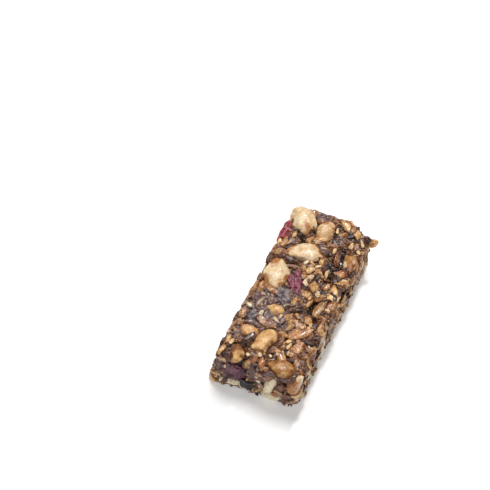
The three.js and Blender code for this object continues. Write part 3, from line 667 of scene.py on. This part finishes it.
class Field:
    """Distances in mm on a regular grid, negative inside."""

    def __init__(self, cell):
        self.cell = cell
        self.low = np.array([-LENGTH / 2 - 3, -WIDTH / 2 - 1.5, -1.2])
        high = np.array([LENGTH / 2 + 1.5, WIDTH / 2 + 3.5, HEIGHT + 1.2])
        self.count = np.ceil((high - self.low) / cell).astype(int) + 1
        axes = [self.low[i] + cell * np.arange(self.count[i]) for i in range(3)]
        self.x, self.y, self.z = np.meshgrid(*axes, indexing="ij", sparse=True)
        self.points = np.stack(np.meshgrid(*axes, indexing="ij"), -1).astype(np.float32)
        self.values = None
        self.nearest = np.full(self.count, FAR_OFF, np.float32)
        self.crowd = np.zeros(self.count, np.float32)

    def window(self, centre, reach):
        first = np.clip(np.floor((centre - reach - self.low) / self.cell).astype(int), 0, self.count - 1)
        last = np.clip(np.ceil((centre + reach - self.low) / self.cell).astype(int) + 1, 1, self.count)
        return tuple(slice(a, b) for a, b in zip(first, last))

    def sample(self, values, points):
        place = (points - self.low) / self.cell
        place = np.clip(place, 0, self.count - 1.001)
        cell = place.astype(np.int32)
        part = place - cell
        total = np.zeros(len(points))
        for corner in np.ndindex(2, 2, 2):
            weight = 1.0
            for axis in range(3):
                weight = weight * (part[:, axis] if corner[axis] else 1 - part[:, axis])
            total += weight * values[cell[:, 0] + corner[0], cell[:, 1] + corner[1], cell[:, 2] + corner[2]]
        return total


def ball_distance(points, centre, half, rotation, tip):
    """Distance to a drop or ball, good near its surface."""
    local = (points - centre) @ rotation
    if tip > 0.6:
        along = np.clip(local[..., 0] / (2 * half[0]) + 0.5, 0.02, 0.98)
        thin = 2 * np.sqrt(along * (1 - along)) / np.maximum(drop_profile(along, tip), 0.15)
        local = np.stack([local[..., 0], local[..., 1] * thin, local[..., 2] * thin], -1)
    shell = np.sqrt(np.sum((local / half) ** 2, -1))
    slope = np.sqrt(np.sum((local / half ** 2) ** 2, -1)) + TINY
    return shell * (shell - 1) / slope


def smooth_min(a, b, blend):
    mix = np.clip(0.5 + 0.5 * (b - a) / blend, 0, 1)
    return b + (a - b) * mix - blend * mix * (1 - mix)


def pressed_in(small):
    """What the paste meets: centre, half sizes, rotation, tip, lift of its collar and its syrup."""
    places = [
        (centre, half, rotation, TIPS.get(shape_of_node(row[0]), ROUND_TIP), -0.4, 0.0)
        for (centre, half, rotation), row in zip(LARGE_PLACES, LARGE_PIECES)
    ]
    draw = stream(211)
    for kind in ("kernels", "crisps", "chunks", "pale_bits"):
        for thing in small[kind]:
            syrup = thing.syrup if thing.syrup is not None else draw()
            tip, syrup = (TIPS["seed"], syrup) if kind == "kernels" else (ROUND_TIP, 0.0)
            half = np.array(thing.size) / 2
            places.append((np.array(thing.at), half, turned(thing.turn), tip, 0.05, syrup))
    return places


def paste_field(small):
    """The paste: a block with waves, lumps and cracks, which creeps up what is pressed into it."""
    field = Field(FINE_CELL)
    x, y, z = field.x, field.y, field.z
    depth = depth_inside(x, y) + fade(LIP, x, y, z)
    side_depth = RIM + 0.3 + 0.45 * RELIEF * waves(x, y, z) + hollow_depth(x, y, z)
    lumps = fractal(field.points, 4.4, 2, 3.1)
    grit = fractal(field.points, 1.5, 2, 8.7)
    crack = np.maximum(0, 1 - np.abs(noise(field.points, 3.6, 17.3)) / 0.18)
    rough = LUMPS * lumps + GRIT * grit - CRACKS * crack
    side_depth = side_depth + 0.9 * smooth_step(-14, -17, y) * smooth_step(-0.1, 0.5, lumps)
    side_depth = side_depth + 1.1 * smooth_step(14, 17, y) * smooth_step(-0.05, 0.5, lumps)
    side = side_depth - depth
    top = z - paste_level(x, y)
    body = -smooth_min(-side, -top, 1.0) - rough
    foot = 0.45 - z + 0.18 * lumps + 0.2 * grit
    values = np.maximum(body, foot)
    film_noise = fractal(field.points, 2.6, 2, 41.0)
    for centre, half, rotation, tip, lift, syrup in pressed_in(small):
        window = field.window(centre, np.full(3, max(half) + 1.3))
        gap = ball_distance(field.points[window], centre, half, rotation, tip)
        near = values[window]
        collar = np.clip(1 - np.abs(near - gap) / COLLAR, 0, 1) ** 2
        raised = near - collar * (lift + 0.35 * film_noise[window])
        if syrup > 0.7:
            film = gap + 0.12 + 0.6 * film_noise[window] - 0.5 * (syrup - 0.7)
            raised = np.minimum(raised, smooth_min(near, film, 0.8))
        values[window] = raised
        field.nearest[window] = np.minimum(field.nearest[window], gap)
        # How crowded the pieces are, for the syrup and painted shade where they touch.
        field.crowd[window] += np.exp(-np.maximum(gap, 0) / 0.4).astype(np.float32)
    inside = np.maximum(-depth, z - HEIGHT + edge_drop(depth))
    field.values = np.maximum(np.maximum(values, foot), inside).astype(np.float32)
    return field


def field_surface(field):
    grid = openvdb.FloatGrid()
    grid.background = FAR_OFF
    grid.copyFromArray(np.ascontiguousarray(field.values))
    points, triangles, quads = grid.convertToPolygons(isovalue=0.0, adaptivity=0.0)
    corners = points.astype(np.float64) * field.cell + field.low
    split = np.concatenate([quads[:, [0, 1, 2]], quads[:, [0, 2, 3]]])
    return corners, np.concatenate([triangles.reshape(-1, 3), split]).astype(np.int32)


# ---- meshes ----

def make_mesh(name, corners, triangles, values, smooth=True):
    """A mesh in metres with one number or vector per corner for each named value."""
    mesh = bpy.data.meshes.new(name)
    mesh.vertices.add(len(corners))
    mesh.vertices.foreach_set("co", (corners * MM).astype(np.float32).ravel())
    mesh.loops.add(3 * len(triangles))
    mesh.loops.foreach_set("vertex_index", triangles.astype(np.int32).ravel())
    mesh.polygons.add(len(triangles))
    mesh.polygons.foreach_set("loop_start", 3 * np.arange(len(triangles), dtype=np.int32))
    mesh.polygons.foreach_set("loop_total", np.full(len(triangles), 3, np.int32))
    mesh.polygons.foreach_set("use_smooth", np.full(len(triangles), smooth))
    for key, data in values.items():
        data = np.asarray(data, np.float32)
        if data.ndim == 1:
            mesh.attributes.new(key, "FLOAT", "POINT").data.foreach_set("value", data)
        else:
            mesh.attributes.new(key, "FLOAT_VECTOR", "POINT").data.foreach_set("vector", data.ravel())
    mesh.update(calc_edges=True)
    mesh.validate()
    return mesh


def add_piece(name, mesh, material, slot, *nodes):
    piece = bpy.data.objects.new(name, mesh)
    bpy.context.scene.collection.objects.link(piece)
    mesh.materials.append(material)
    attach(piece, "root")
    if nodes:
        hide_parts(*nodes)
    return piece


def pressed(points):
    """Presses what stands far out of the paste back towards it, as the cutting press does."""
    x, y, z = points.T
    level = paste_level(x, y)
    above = np.maximum(z - level, 0)
    return np.stack([x, y, np.minimum(z, level) + above / (1 + 0.45 * above)], 1)


def cut_flush(points, recess=0.0):
    """Cuts points off at the bar's outline, a little ragged, its upper edges and its underside."""
    x, y, z = points.T
    ragged = RAGGED + (RAGGED_RIGHT - RAGGED) * smooth_step(-10, -16, y)
    limit = recess - fade(LIP, x, y, z) - ragged * smooth_step(-0.2, 0.5, noise(points, 3.1, 13.7))
    depth = depth_inside(x, y)
    outside = depth < limit
    moved_x, moved_y = move_to_depth(x, y, limit)
    x = np.where(outside, moved_x, x)
    y = np.where(outside, moved_y, y)
    roof = HEIGHT - edge_drop(depth_inside(x, y))
    kept = np.stack([x, y, np.clip(z, 0.6 * recess, roof)], 1)
    cut = np.linalg.norm(kept - points, axis=1)
    return kept, smooth_step(0.02, 0.3, cut)


# Purple-grey painted sheen: on the top where the paste lies bare, and over the near end.
def painted_sheen_near(points):
    x, y, z = points.T
    end = 0.55 * smooth_step(-41.5, -43, x)
    return np.where(z > PASTE_TOP - 3, np.maximum(bare_sheen_at(x, y), end), end)


def syrup_and_contact_shade_on(field, points, stain, irregular):
    """How much syrup lies on each corner, with painted contact shade: syrup in patches, and syrup with
    painted shade near the paste and where pieces touch.
    """
    contact_syrup_shade = 1 - smooth_step(0.0, 1.4, field.sample(field.values, points))
    seam_syrup_shade = smooth_step(1.3, 2.1, field.sample(field.crowd, points))
    patches = fractal(points, 4.0, 3, irregular % 7 + 2.0)
    patch = smooth_step(0.5 - 1.2 * stain, 1.0 - 1.2 * stain, patches)
    return np.clip(0.6 * contact_syrup_shade + 0.5 * seam_syrup_shade + 0.8 * patch, 0, 1)


def stained(x, y):
    return sum(amount * spot_at(x, y, *spot) for *spot, amount in STAINS)


def add_kind(name, field, things, ball, shape_of, stains, seed, finish, smooth):
    """Many small pieces of a kind as one mesh."""
    draw = stream(seed)
    ball, triangles = ball
    parts = []
    for number, thing in enumerate(things):
        local = shape_of(ball, thing.size, draw, thing.at)
        points = local @ turned(thing.turn).T + np.array(thing.at)
        cut = np.zeros(len(points))
        if name != "stray_crumbs":
            points, cut = cut_flush(pressed(points), 0.25 * (abs(7.31 * thing.at[0]) % 1))
        tone, stain = 1.4 * draw() - 0.2, stains[0] + (stains[1] - stains[0]) * draw()
        # Painted shade for pieces deep in a hollow, added onto the coat value.
        sunk = 1.3 * smooth_step(0.5, 1.6, hollow_depth(*thing.at))
        if thing.tone is not None:
            tone, stain, sunk = thing.tone, stains[1] * thing.syrup, 0.5 * sunk
        parts.append({
            "corners": points,
            "triangles": triangles + number * len(ball),
            "tone": np.full(len(points), tone),
            # The coat value: syrup with painted contact shade, and painted hollow shade above 1.
            "coat": syrup_and_contact_shade_on(field, points, stain, 9 * draw()) + sunk,
            "cut": cut,
            "warm": np.full(len(points), draw()),
            "painted_sheen": painted_sheen_near(points),
            "local": local + 20 * draw(),
        })
    made = {key: np.concatenate([part[key] for part in parts]) for key in parts[0]}
    corners, triangles = made.pop("corners"), made.pop("triangles")
    return add_piece(name, make_mesh(name, corners, triangles, made, smooth), *finish)


# ---- materials ----

def linear(colour):
    """Scene colour of a hex code."""
    parts = [int(colour[i:i + 2], 16) / 255 for i in (0, 2, 4)]
    return tuple(c / 12.92 if c <= 0.04045 else ((c + 0.055) / 1.055) ** 2.4 for c in parts) + (1,)


class Shader:
    """One material, whose colour is built up in layers."""

    def __init__(self, name, roughness, subsurface, radius, coat=0.0, specular=0.5):
        self.material = bpy.data.materials.new(name)
        self.material.use_nodes = True
        self.tree = self.material.node_tree
        self.surface = self.tree.nodes["Principled BSDF"]
        settings = {
            "Roughness": roughness,
            "Subsurface Weight": subsurface,
            "Subsurface Radius": (1.0, 0.55, 0.32),
            "Subsurface Scale": radius * MM,
            "Coat Weight": coat,
            "Coat Roughness": 0.1,
            "Specular IOR Level": specular,
        }
        for key, value in settings.items():
            self.surface.inputs[key].default_value = value
        self.place = self.node("ShaderNodeTexCoord", "Object")
        self.colour = None

    def node(self, kind, output, inputs=None, **settings):
        """Adds a node, sets or links its inputs, and gives one of its outputs."""
        made = self.tree.nodes.new(kind)
        for key, value in settings.items():
            setattr(made, key, value)
        for key, value in (inputs or {}).items():
            self.link(value, made.inputs[key])
        return made.outputs[output]

    def link(self, source, target):
        if hasattr(source, "is_output"):
            self.tree.links.new(source, target)
        else:
            target.default_value = linear(source) if isinstance(source, str) else source

    def attribute(self, name, output="Fac"):
        return self.node("ShaderNodeAttribute", output, attribute_name=name)

    def noise(self, size, detail=3.0, place=None, stretch=None):
        """Noise with features of a size in metres, or in the units of the place that is given."""
        place = self.place if place is None else place
        if stretch is not None:
            place = self.node("ShaderNodeMapping", "Vector", {"Vector": place, "Scale": stretch})
        inputs = {"Vector": place, "Scale": 1 / size, "Detail": detail}
        return self.node("ShaderNodeTexNoise", "Fac", inputs)

    def cells(self, size):
        return self.node("ShaderNodeTexVoronoi", "Distance", {"Vector": self.place, "Scale": 1 / size})

    def plus(self, a, b):
        return self.node("ShaderNodeMath", 0, {0: a, 1: b}, operation="ADD")

    def times(self, a, b):
        return self.node("ShaderNodeMath", 0, {0: a, 1: b}, operation="MULTIPLY")

    def between(self, value, low, high):
        """0 below low, 1 above high, and smooth between them."""
        inputs = {"Value": value, "From Min": low, "From Max": high}
        return self.node("ShaderNodeMapRange", "Result", inputs, interpolation_type="SMOOTHSTEP")

    def spread(self, value, low, high):
        """Maps 0..1 to low..high."""
        return self.node("ShaderNodeMapRange", "Result", {"Value": value, "To Min": low, "To Max": high})

    def mix(self, share, a, b):
        return self.node("ShaderNodeMix", "Result", {"Factor": share, "A": a, "B": b}, data_type="RGBA")

    def cover(self, share, tint):
        """Lays a tint over the colour."""
        self.colour = self.mix(share, self.colour, tint)

    def layer(self, value, low, high, most, tint):
        """Lays a tint over the colour, from none where a value is low to most of it where it is high."""
        self.cover(self.times(self.between(value, low, high), most), tint)

    def painted_sheen(self):
        """Paints a purple-grey sheen over the colour, a painted reflection of white surroundings, where the
        sheen value of bare paste is high.
        """
        film = self.plus(self.attribute("painted_sheen"), self.spread(self.noise(2.0 * MM, 4), -1.3, 1.0))
        tint = self.mix(self.between(self.noise(0.9 * MM, 3), 0.35, 0.65), "523e3c", "b09c98")
        self.layer(film, 0.3, 0.8, 0.75, tint)

    def shade(self):
        """Paints shade, near black, over what lies deep in a hollow, where the coat value passes 1."""
        self.layer(self.attribute("coat"), 1.0, 2.0, 0.9, "160b05")

    def finish(self, roughness=None, height=None, depth=0.0):
        self.link(self.colour, self.surface.inputs["Base Color"])
        if roughness is not None:
            self.link(roughness, self.surface.inputs["Roughness"])
        if height is not None:
            bump = self.node("ShaderNodeBump", "Normal", {"Distance": depth * MM, "Height": height})
            self.link(bump, self.surface.inputs["Normal"])
        return self.material


def paste_material():
    s = Shader("fruit_paste", 0.35, 0.05, 1.0, coat=0.25, specular=0.35)
    fine = s.noise(1.3 * MM, 4)
    s.colour = s.mix(s.between(fine, 0.36, 0.7), "220f08", "683c26")
    s.layer(s.noise(7 * MM, 3), 0.44, 0.6, 0.6, "6e4735")
    # Purple-grey painted sheen where the paste lies bare.
    s.layer(s.attribute("painted_sheen"), 0.1, 0.7, 0.5, "80686a")
    s.layer(s.noise(0.8 * MM, 2), 0.62, 0.72, 0.25, "9c7450")
    s.layer(s.noise(1.1 * MM, 2, stretch=(1.3, 0.8, 1)), 0.62, 0.72, 0.5, "1a0f0b")
    # Painted shade, near black, deep in the paste's hollows.
    s.cover(s.times(s.attribute("deep"), 0.95), "110803")
    height = s.plus(fine, s.times(s.noise(0.45 * MM, 3), 0.5))
    return s.finish(s.spread(s.between(fine, 0.3, 0.7), 0.16, 0.45), height, 0.6)


def nut_material(name, light, dark, syrup, pale, streak, shine=0.45, with_painted_sheen=True, grain=0.55, mottled=0.65):
    """Nuts and seeds: streaks along the piece, syrup with painted contact shade where it lies, paler where
    it is cut, a purple-grey painted sheen where asked, and painted shade in hollows.
    """
    s = Shader(name, shine, 0.12, 0.8, coat=0.5 * grain, specular=0.3)
    streaks = s.noise(1.0, 4, s.attribute("local", "Vector"), streak)
    mottle = s.noise(2.2 * MM, 4)
    fine = s.noise(0.6 * MM, 3)
    tone = s.plus(s.attribute("tone"), s.spread(streaks, -0.8, 0.8))
    s.colour = s.mix(s.between(tone, 0.0, 1.0), light, dark)
    s.layer(s.attribute("warm"), 0.6, 0.9, 0.55, "b4602e")
    s.layer(mottle, 0.45, 0.65, mottled, dark)
    s.layer(mottle, 0.5, 0.3, 0.5, pale)
    s.layer(fine, 0.5, 0.62, grain, pale)
    s.layer(fine, 0.48, 0.38, grain, dark)
    s.cover(s.times(s.attribute("cut"), 0.15), pale)
    # Syrup colour over the coat value, which holds syrup and painted contact shade.
    ragged = s.plus(s.attribute("coat"), s.spread(mottle, -0.45, 0.45))
    syrup_and_shade = s.between(s.plus(ragged, s.spread(fine, -0.15, 0.15)), 0.25, 0.85)
    s.cover(s.times(syrup_and_shade, 0.85), s.mix(s.between(fine, 0.35, 0.65), *syrup))
    if with_painted_sheen:
        s.painted_sheen()
    s.shade()
    height = s.plus(s.times(streaks, 0.8), fine)
    return s.finish(s.spread(syrup_and_shade, shine, 0.25), height, 0.55 * grain)


def shred_material():
    """Torn scraps, from syrup-dark to tan."""
    s = Shader("torn_shreds", 0.45, 0.1, 0.6, specular=0.3)
    fine = s.noise(0.9 * MM, 4)
    tone = s.times(s.attribute("tone"), s.attribute("tone"))
    tone = s.plus(tone, s.spread(fine, -0.3, 0.3))
    s.colour = s.mix(s.between(tone, 0.0, 0.35), "2c160c", "764a32")
    s.cover(s.between(tone, 0.3, 0.6), "a86e44")
    s.cover(s.between(tone, 0.65, 0.95), "e6c08a")
    # Syrup colour with painted contact shade, from the coat value.
    s.cover(s.times(s.attribute("coat"), 0.45), "482c22")
    s.painted_sheen()
    s.shade()
    return s.finish(s.spread(fine, 0.25, 0.5), fine, 0.2)


def fruit_material(name, bright, deep, bloom_and_sheen, most_bloom_and_sheen, crease_shade):
    s = Shader(name, 0.3, 0.2, 1.2, coat=0.25)
    tone, ridge = s.attribute("tone"), s.attribute("ridge")
    mottled = s.plus(tone, s.spread(s.noise(2.2 * MM, 4), -0.35, 0.35))
    s.colour = s.mix(s.between(mottled, 0.0, 1.0), bright, deep)
    # Bloom on the raised folds, partly real bloom and partly a painted sheen where light catches them.
    s.cover(s.times(s.between(ridge, 0.2, 0.95), s.spread(tone, most_bloom_and_sheen, 0.1)), bloom_and_sheen)
    # Painted shade in the creases between the folds.
    s.layer(ridge, 0.4, 0.1, 0.65, crease_shade)
    return s.finish(s.spread(s.noise(1.2 * MM, 3), 0.22, 0.55), s.noise(0.7 * MM, 4), 0.6)


def crisp_material():
    s = Shader("pale_crisp", 0.6, 0.15, 0.7)
    pores = s.cells(0.8 * MM)
    s.colour = s.mix(s.between(s.noise(1.8 * MM, 3), 0.35, 0.7), "b09468", "e4d6b6")
    s.layer(pores, 0.45, 0.15, 0.4, "8a6d49")
    # Syrup colour with painted contact shade, from the coat value.
    syrup_and_shade = s.plus(s.attribute("coat"), s.spread(s.noise(1.6 * MM, 3), -0.45, 0.45))
    syrup_and_shade = s.between(syrup_and_shade, 0.3, 0.9)
    s.cover(s.times(syrup_and_shade, 0.8), "5f3f2a")
    return s.finish(s.spread(syrup_and_shade, 0.62, 0.35), pores, 0.25)


def make_finishes():
    """The material and the slot of each finish. The rows for nuts begin with the slot."""
    syrup, toffee = ("4a2412", "8a5030"), ("8a4a1e", "bd7734")
    broad, fine = (0.25, 0.9, 0.9), (0.35, 2.2, 2.2)
    nuts = {
        "pale": (
            "peanut", "pale_peanut", "dec59a", "bd8a52", toffee, "f6ead2", broad, 0.45, False, 0.35, 0.3,
        ),
        "golden": (
            "golden_nut", "golden_nut", "dfb274", "a4622e", syrup, "f0d6a4", broad, 0.35, False, 0.25,
        ),
        "seed": ("seed_kernel", "seed_kernel", "dcaa6a", "84491f", syrup, "e6c894", fine),
        "large_seed": (
            "seed_kernel", "large_seed", "d2a062", "94602e", syrup, "e2c088", broad, 0.35, False, 0.25,
        ),
        "chunk": ("golden_nut", "nut_chunk", "dea75f", "80461e", syrup, "ecc890", broad),
        "sesame": ("slice", "sesame_seed", "e8d6b0", "bc9860", syrup, "f0e2c4", fine, 0.45, False),
        "slice": (
            "slice", "cut_slice", "f0e2c2", "c6a877", syrup, "f6ecd4", broad, 0.55, False, 0.55, 0.35,
        ),
        "fleck": ("golden_nut", "crumb_fleck", "cfa46c", "5e3820", syrup, "cfa46c", broad),
    }
    # Fruit rows: material, bright and deep colours, bloom with painted sheen on the ridges, its most, and
    # painted shade in the creases.
    fruits = {
        "cranberry": ("cranberry_skin", "b42e38", "5a1c38", "a68698", 0.75, "3c0e1a"),
        "raisin": ("raisin_skin", "6a5c60", "100b0b", "9c8c88", 0.7, "140c0c"),
    }
    finishes = {key: (nut_material(*row[1:]), row[0]) for key, row in nuts.items()}
    finishes.update({key: (fruit_material(*row), key) for key, row in fruits.items()})
    finishes["shred"] = (shred_material(), "paste")
    finishes["crisp"] = (crisp_material(), "slice")
    return finishes


# ---- pieces ----

def add_paste(field, material):
    corners, triangles = field_surface(field)
    x, y, z = corners.T
    # How far the paste sinks below its sound top. The paste's colour turns this into painted shade in the
    # hollows.
    sound_level = PASTE_TOP + RELIEF * waves(x, y, 0) - edge_drop(depth_inside(x, y) - RIM)
    sunk = np.minimum(sound_level - 0.25 - z, depth_inside(x, y) - RIM - 0.3)
    deep = smooth_step(0.1, 1.5, np.minimum(sunk, z - 0.6))
    mesh = make_mesh("paste", corners, triangles, {"deep": deep, "painted_sheen": painted_sheen_near(corners)})
    piece = add_piece("paste", mesh, material, "paste", "bar")
    share = PASTE_TRIANGLES / len(mesh.polygons)
    if share < 1:
        thin = piece.modifiers.new("thin", "DECIMATE")
        thin.ratio = share
        depsgraph = bpy.context.evaluated_depsgraph_get()
        reduced = bpy.data.meshes.new_from_object(piece.evaluated_get(depsgraph))
        piece.modifiers.clear()
        piece.data = reduced
        for vertex in reduced.vertices:
            vertex.co.z = max(vertex.co.z, 0)
    return corners


def large_drop(field, row, ball):
    name, finish, at, size, turn, stain, tone = row
    shape = shape_of_node(name)
    local = drop_shape(ball, size, TIPS[shape], 3 * at[0] + at[1])
    if shape == "peanut":
        least = 0.62 if finish == "golden" and size[0] < 14 else 0.78
        local = chopped(local, np.array(size) / 2, stream(int(abs(10 * at[0]))), 7, least)
    local = roughened(local, 4.2, 0.3 if shape == "peanut" else 0.15, at[0] * 0.37)
    local = roughened(local, 1.2, 0.08, at[1] * 0.37)
    points, cut = cut_flush(local @ turned(turn).T + np.array(at))
    own_stains = np.where(points[:, 2] > PASTE_TOP - 2, stained(points[:, 0], points[:, 1]), 0)
    clean = 0.5 if shape == "slice" else 1.0
    coat = np.clip(clean * syrup_and_contact_shade_on(field, points, stain, at[0] + at[2]) + own_stains, 0, 1)
    return points, {"tone": np.full(len(points), tone), "coat": coat, "cut": cut, "local": local}


# How deep the folds of each fruit are, and how often they come.
FOLDS = {"cranberry": (0.1, 2.2), "raisin": (0.14, 3.1)}


def large_fruit(row, ball):
    _, finish, at, size, turn, _, tone = row
    local = fruit_shape(ball, size, *FOLDS[finish], 3 * at[0] + at[1])
    bent = local + 1.1 * np.stack([noise(local, 3.0, 1.0 + k) for k in range(3)], 1)
    ridge = 1 - np.abs(noise(bent, 2.3, at[1] * 0.21)) * 1.6
    fine = 1 - np.abs(noise(bent, 1.1, at[0] * 0.13)) * 1.6
    outward = local / np.linalg.norm(local, axis=1)[:, None]
    local = local + outward * (0.42 * ridge + 0.26 * fine - 0.25)[:, None]
    points, _ = cut_flush(local @ turned(turn).T + np.array(at))
    # ridge: how high the folds stand, for bloom with painted sheen on them and painted shade between them.
    return points, {"ridge": np.clip(0.6 * ridge + 0.4 * fine, 0, 1), "tone": np.full(len(points), tone)}


def add_large_pieces(field, finishes):
    grid, grid_triangles = ball_grid(48, 32)
    ball, ball_triangles = ico_ball(5)
    for row in LARGE_PIECES:
        name, finish = row[:2]
        if finish in FOLDS:
            points, values = large_fruit(row, ball)
            mesh = make_mesh(name, points, ball_triangles, values)
        else:
            points, values = large_drop(field, row, grid)
            mesh = make_mesh(name, points, grid_triangles, values)
        add_piece(name + "_fine", mesh, *finishes[finish], name)


def flecks_on(field, skin):
    """Fine crumbs stuck all over the paste."""
    chance = np.random.RandomState(19)
    free = skin[field.sample(field.nearest, skin) > 0.25]
    smooth = np.array([is_near(at, SMOOTH_SIDES + BARE_SIDES) for at in free])
    free = free[~smooth | (chance.uniform(size=len(free)) < 0.35)]
    flecks = []
    for at in free[chance.choice(len(free), FLECKS, replace=False)]:
        size = chance.uniform(0.8, 1.9)
        sizes = (size, size * chance.uniform(0.55, 0.9), size * chance.uniform(0.4, 0.8))
        flecks.append(Thing(tuple(at), sizes, tuple(chance.uniform(0, 360, 3))))
    return flecks


def add_small_pieces(field, small, finishes):
    """One mesh for each kind: its ball and shape, least and most syrup, seed, finish, and smoothness."""
    kinds = [
        ("kernels", ball_grid(16, 14), kernel_shape, (0.05, 0.6), 307, "seed", True),
        ("chunks", ico_ball(2), chunk_shape, (0.1, 0.9), 311, "chunk", True),
        ("stray_crumbs", ico_ball(2), chunk_shape, (0.1, 0.4), 353, "chunk", False),
        ("shreds", ball_grid(8, 5), shred_shape, (0.0, 0.3), 347, "shred", False),
        ("pale_bits", ico_ball(2), chunk_shape, (0.0, 0.2), 331, "sesame", False),
        ("sesame", ball_grid(8, 7), sesame_shape, (0.0, 0.4), 313, "sesame", True),
        ("crisps", ico_ball(3), crisp_shape, (0.0, 0.4), 317, "crisp", True),
        ("flecks", ico_ball(1), fleck_shape, (0.0, 0.5), 337, "fleck", False),
    ]
    for name, ball, shape_of, stains, seed, finish, smooth in kinds:
        add_kind(name, field, small[name], ball, shape_of, stains, seed, finishes[finish], smooth)


# ---- light, floor and camera ----

VIEW_AZIMUTH, VIEW_ELEVATION, VIEW_ROLL = 20.14, 50.11, 3.80
VIEW_MIDDLE = (-0.8, -0.3, 9.75)
VIEW_DISTANCE = 620.2
VIEW_ASIDE, VIEW_DOWN = 21.26, 23.60
FRAME_PIXELS, FOCAL_PIXELS, SENSOR = 490, 1500, 36
FLOOR_REACH, FLOOR_LEVEL = 3.0, -0.00005


def add_camera():
    """The camera, placed from where the photograph sees the bar's middle."""
    a, e, roll = (math.radians(v) for v in (VIEW_AZIMUTH, VIEW_ELEVATION, VIEW_ROLL))
    back = Vector((-math.cos(a) * math.cos(e), -math.sin(a) * math.cos(e), math.sin(e)))
    right = Vector((0, 0, 1)).cross(back).normalized()
    up = back.cross(right)
    right, up = (
        math.cos(roll) * right + math.sin(roll) * up,
        math.cos(roll) * up - math.sin(roll) * right,
    )
    place = Vector(VIEW_MIDDLE) - VIEW_ASIDE * right + VIEW_DOWN * up + VIEW_DISTANCE * back
    data = bpy.data.cameras.new("camera")
    data.sensor_width = SENSOR
    data.lens = SENSOR * FOCAL_PIXELS / FRAME_PIXELS
    data.clip_start = 0.01
    camera = bpy.data.objects.new("camera", data)
    turn = Matrix((right, up, back)).transposed().to_4x4()
    camera.matrix_world = Matrix.Translation(place * MM) @ turn
    bpy.context.scene.collection.objects.link(camera)
    bpy.context.scene.camera = camera


def add_light(name, place, size, watts, colour=(1, 1, 1)):
    data = bpy.data.lights.new(name, "AREA")
    data.shape = "DISK"
    data.size = size
    data.energy = watts
    data.color = colour
    lamp = bpy.data.objects.new(name, data)
    lamp.location = place
    lamp.rotation_euler = (-Vector(place)).to_track_quat("-Z", "Y").to_euler()
    bpy.context.scene.collection.objects.link(lamp)


def add_studio():
    world = bpy.data.worlds.new("studio")
    world.use_nodes = True
    world.node_tree.nodes["Background"].inputs["Color"].default_value = (1, 1, 1, 1)
    world.node_tree.nodes["Background"].inputs["Strength"].default_value = 0.05
    bpy.context.scene.world = world
    add_light("key", (0.42, 0.2, 0.88), 0.5, 8.1, (1.0, 0.99, 0.97))
    add_light("spark", (0.55, 0.05, 0.75), 0.07, 3.2)
    add_light("fill", (-0.75, -0.05, 0.5), 0.3, 2.2)
    add_light("aside", (0.0, -0.85, 0.3), 0.5, 1.5)

    floor_mesh = bpy.data.meshes.new("floor")
    square = ((-1, -1), (1, -1), (1, 1), (-1, 1))
    corners = [(FLOOR_REACH * x, FLOOR_REACH * y, FLOOR_LEVEL) for x, y in square]
    floor_mesh.from_pydata(corners, [], [(0, 1, 2, 3)])
    floor = bpy.data.objects.new("floor", floor_mesh)
    s = Shader("white_floor", 0.7, 0.0, 1.0)
    s.surface.inputs["Emission Color"].default_value = (1, 1, 1, 1)
    s.surface.inputs["Emission Strength"].default_value = 0.23
    s.colour = s.mix(s.noise(0.3, 2), "f4f4f5", "f7f7f7")
    floor_mesh.materials.append(s.finish())
    bpy.context.scene.collection.objects.link(floor)

    view = bpy.context.scene.view_settings
    view.view_transform = "Standard"
    view.look = "None"
    view.exposure = 0.0


# ---- build ----

def build():
    finishes = make_finishes()
    small = scatter()
    field = paste_field(small)
    skin = add_paste(field, paste_material())
    small["flecks"] = flecks_on(field, skin)
    add_large_pieces(field, finishes)
    add_small_pieces(field, small, finishes)


add_camera()
add_studio()
build()
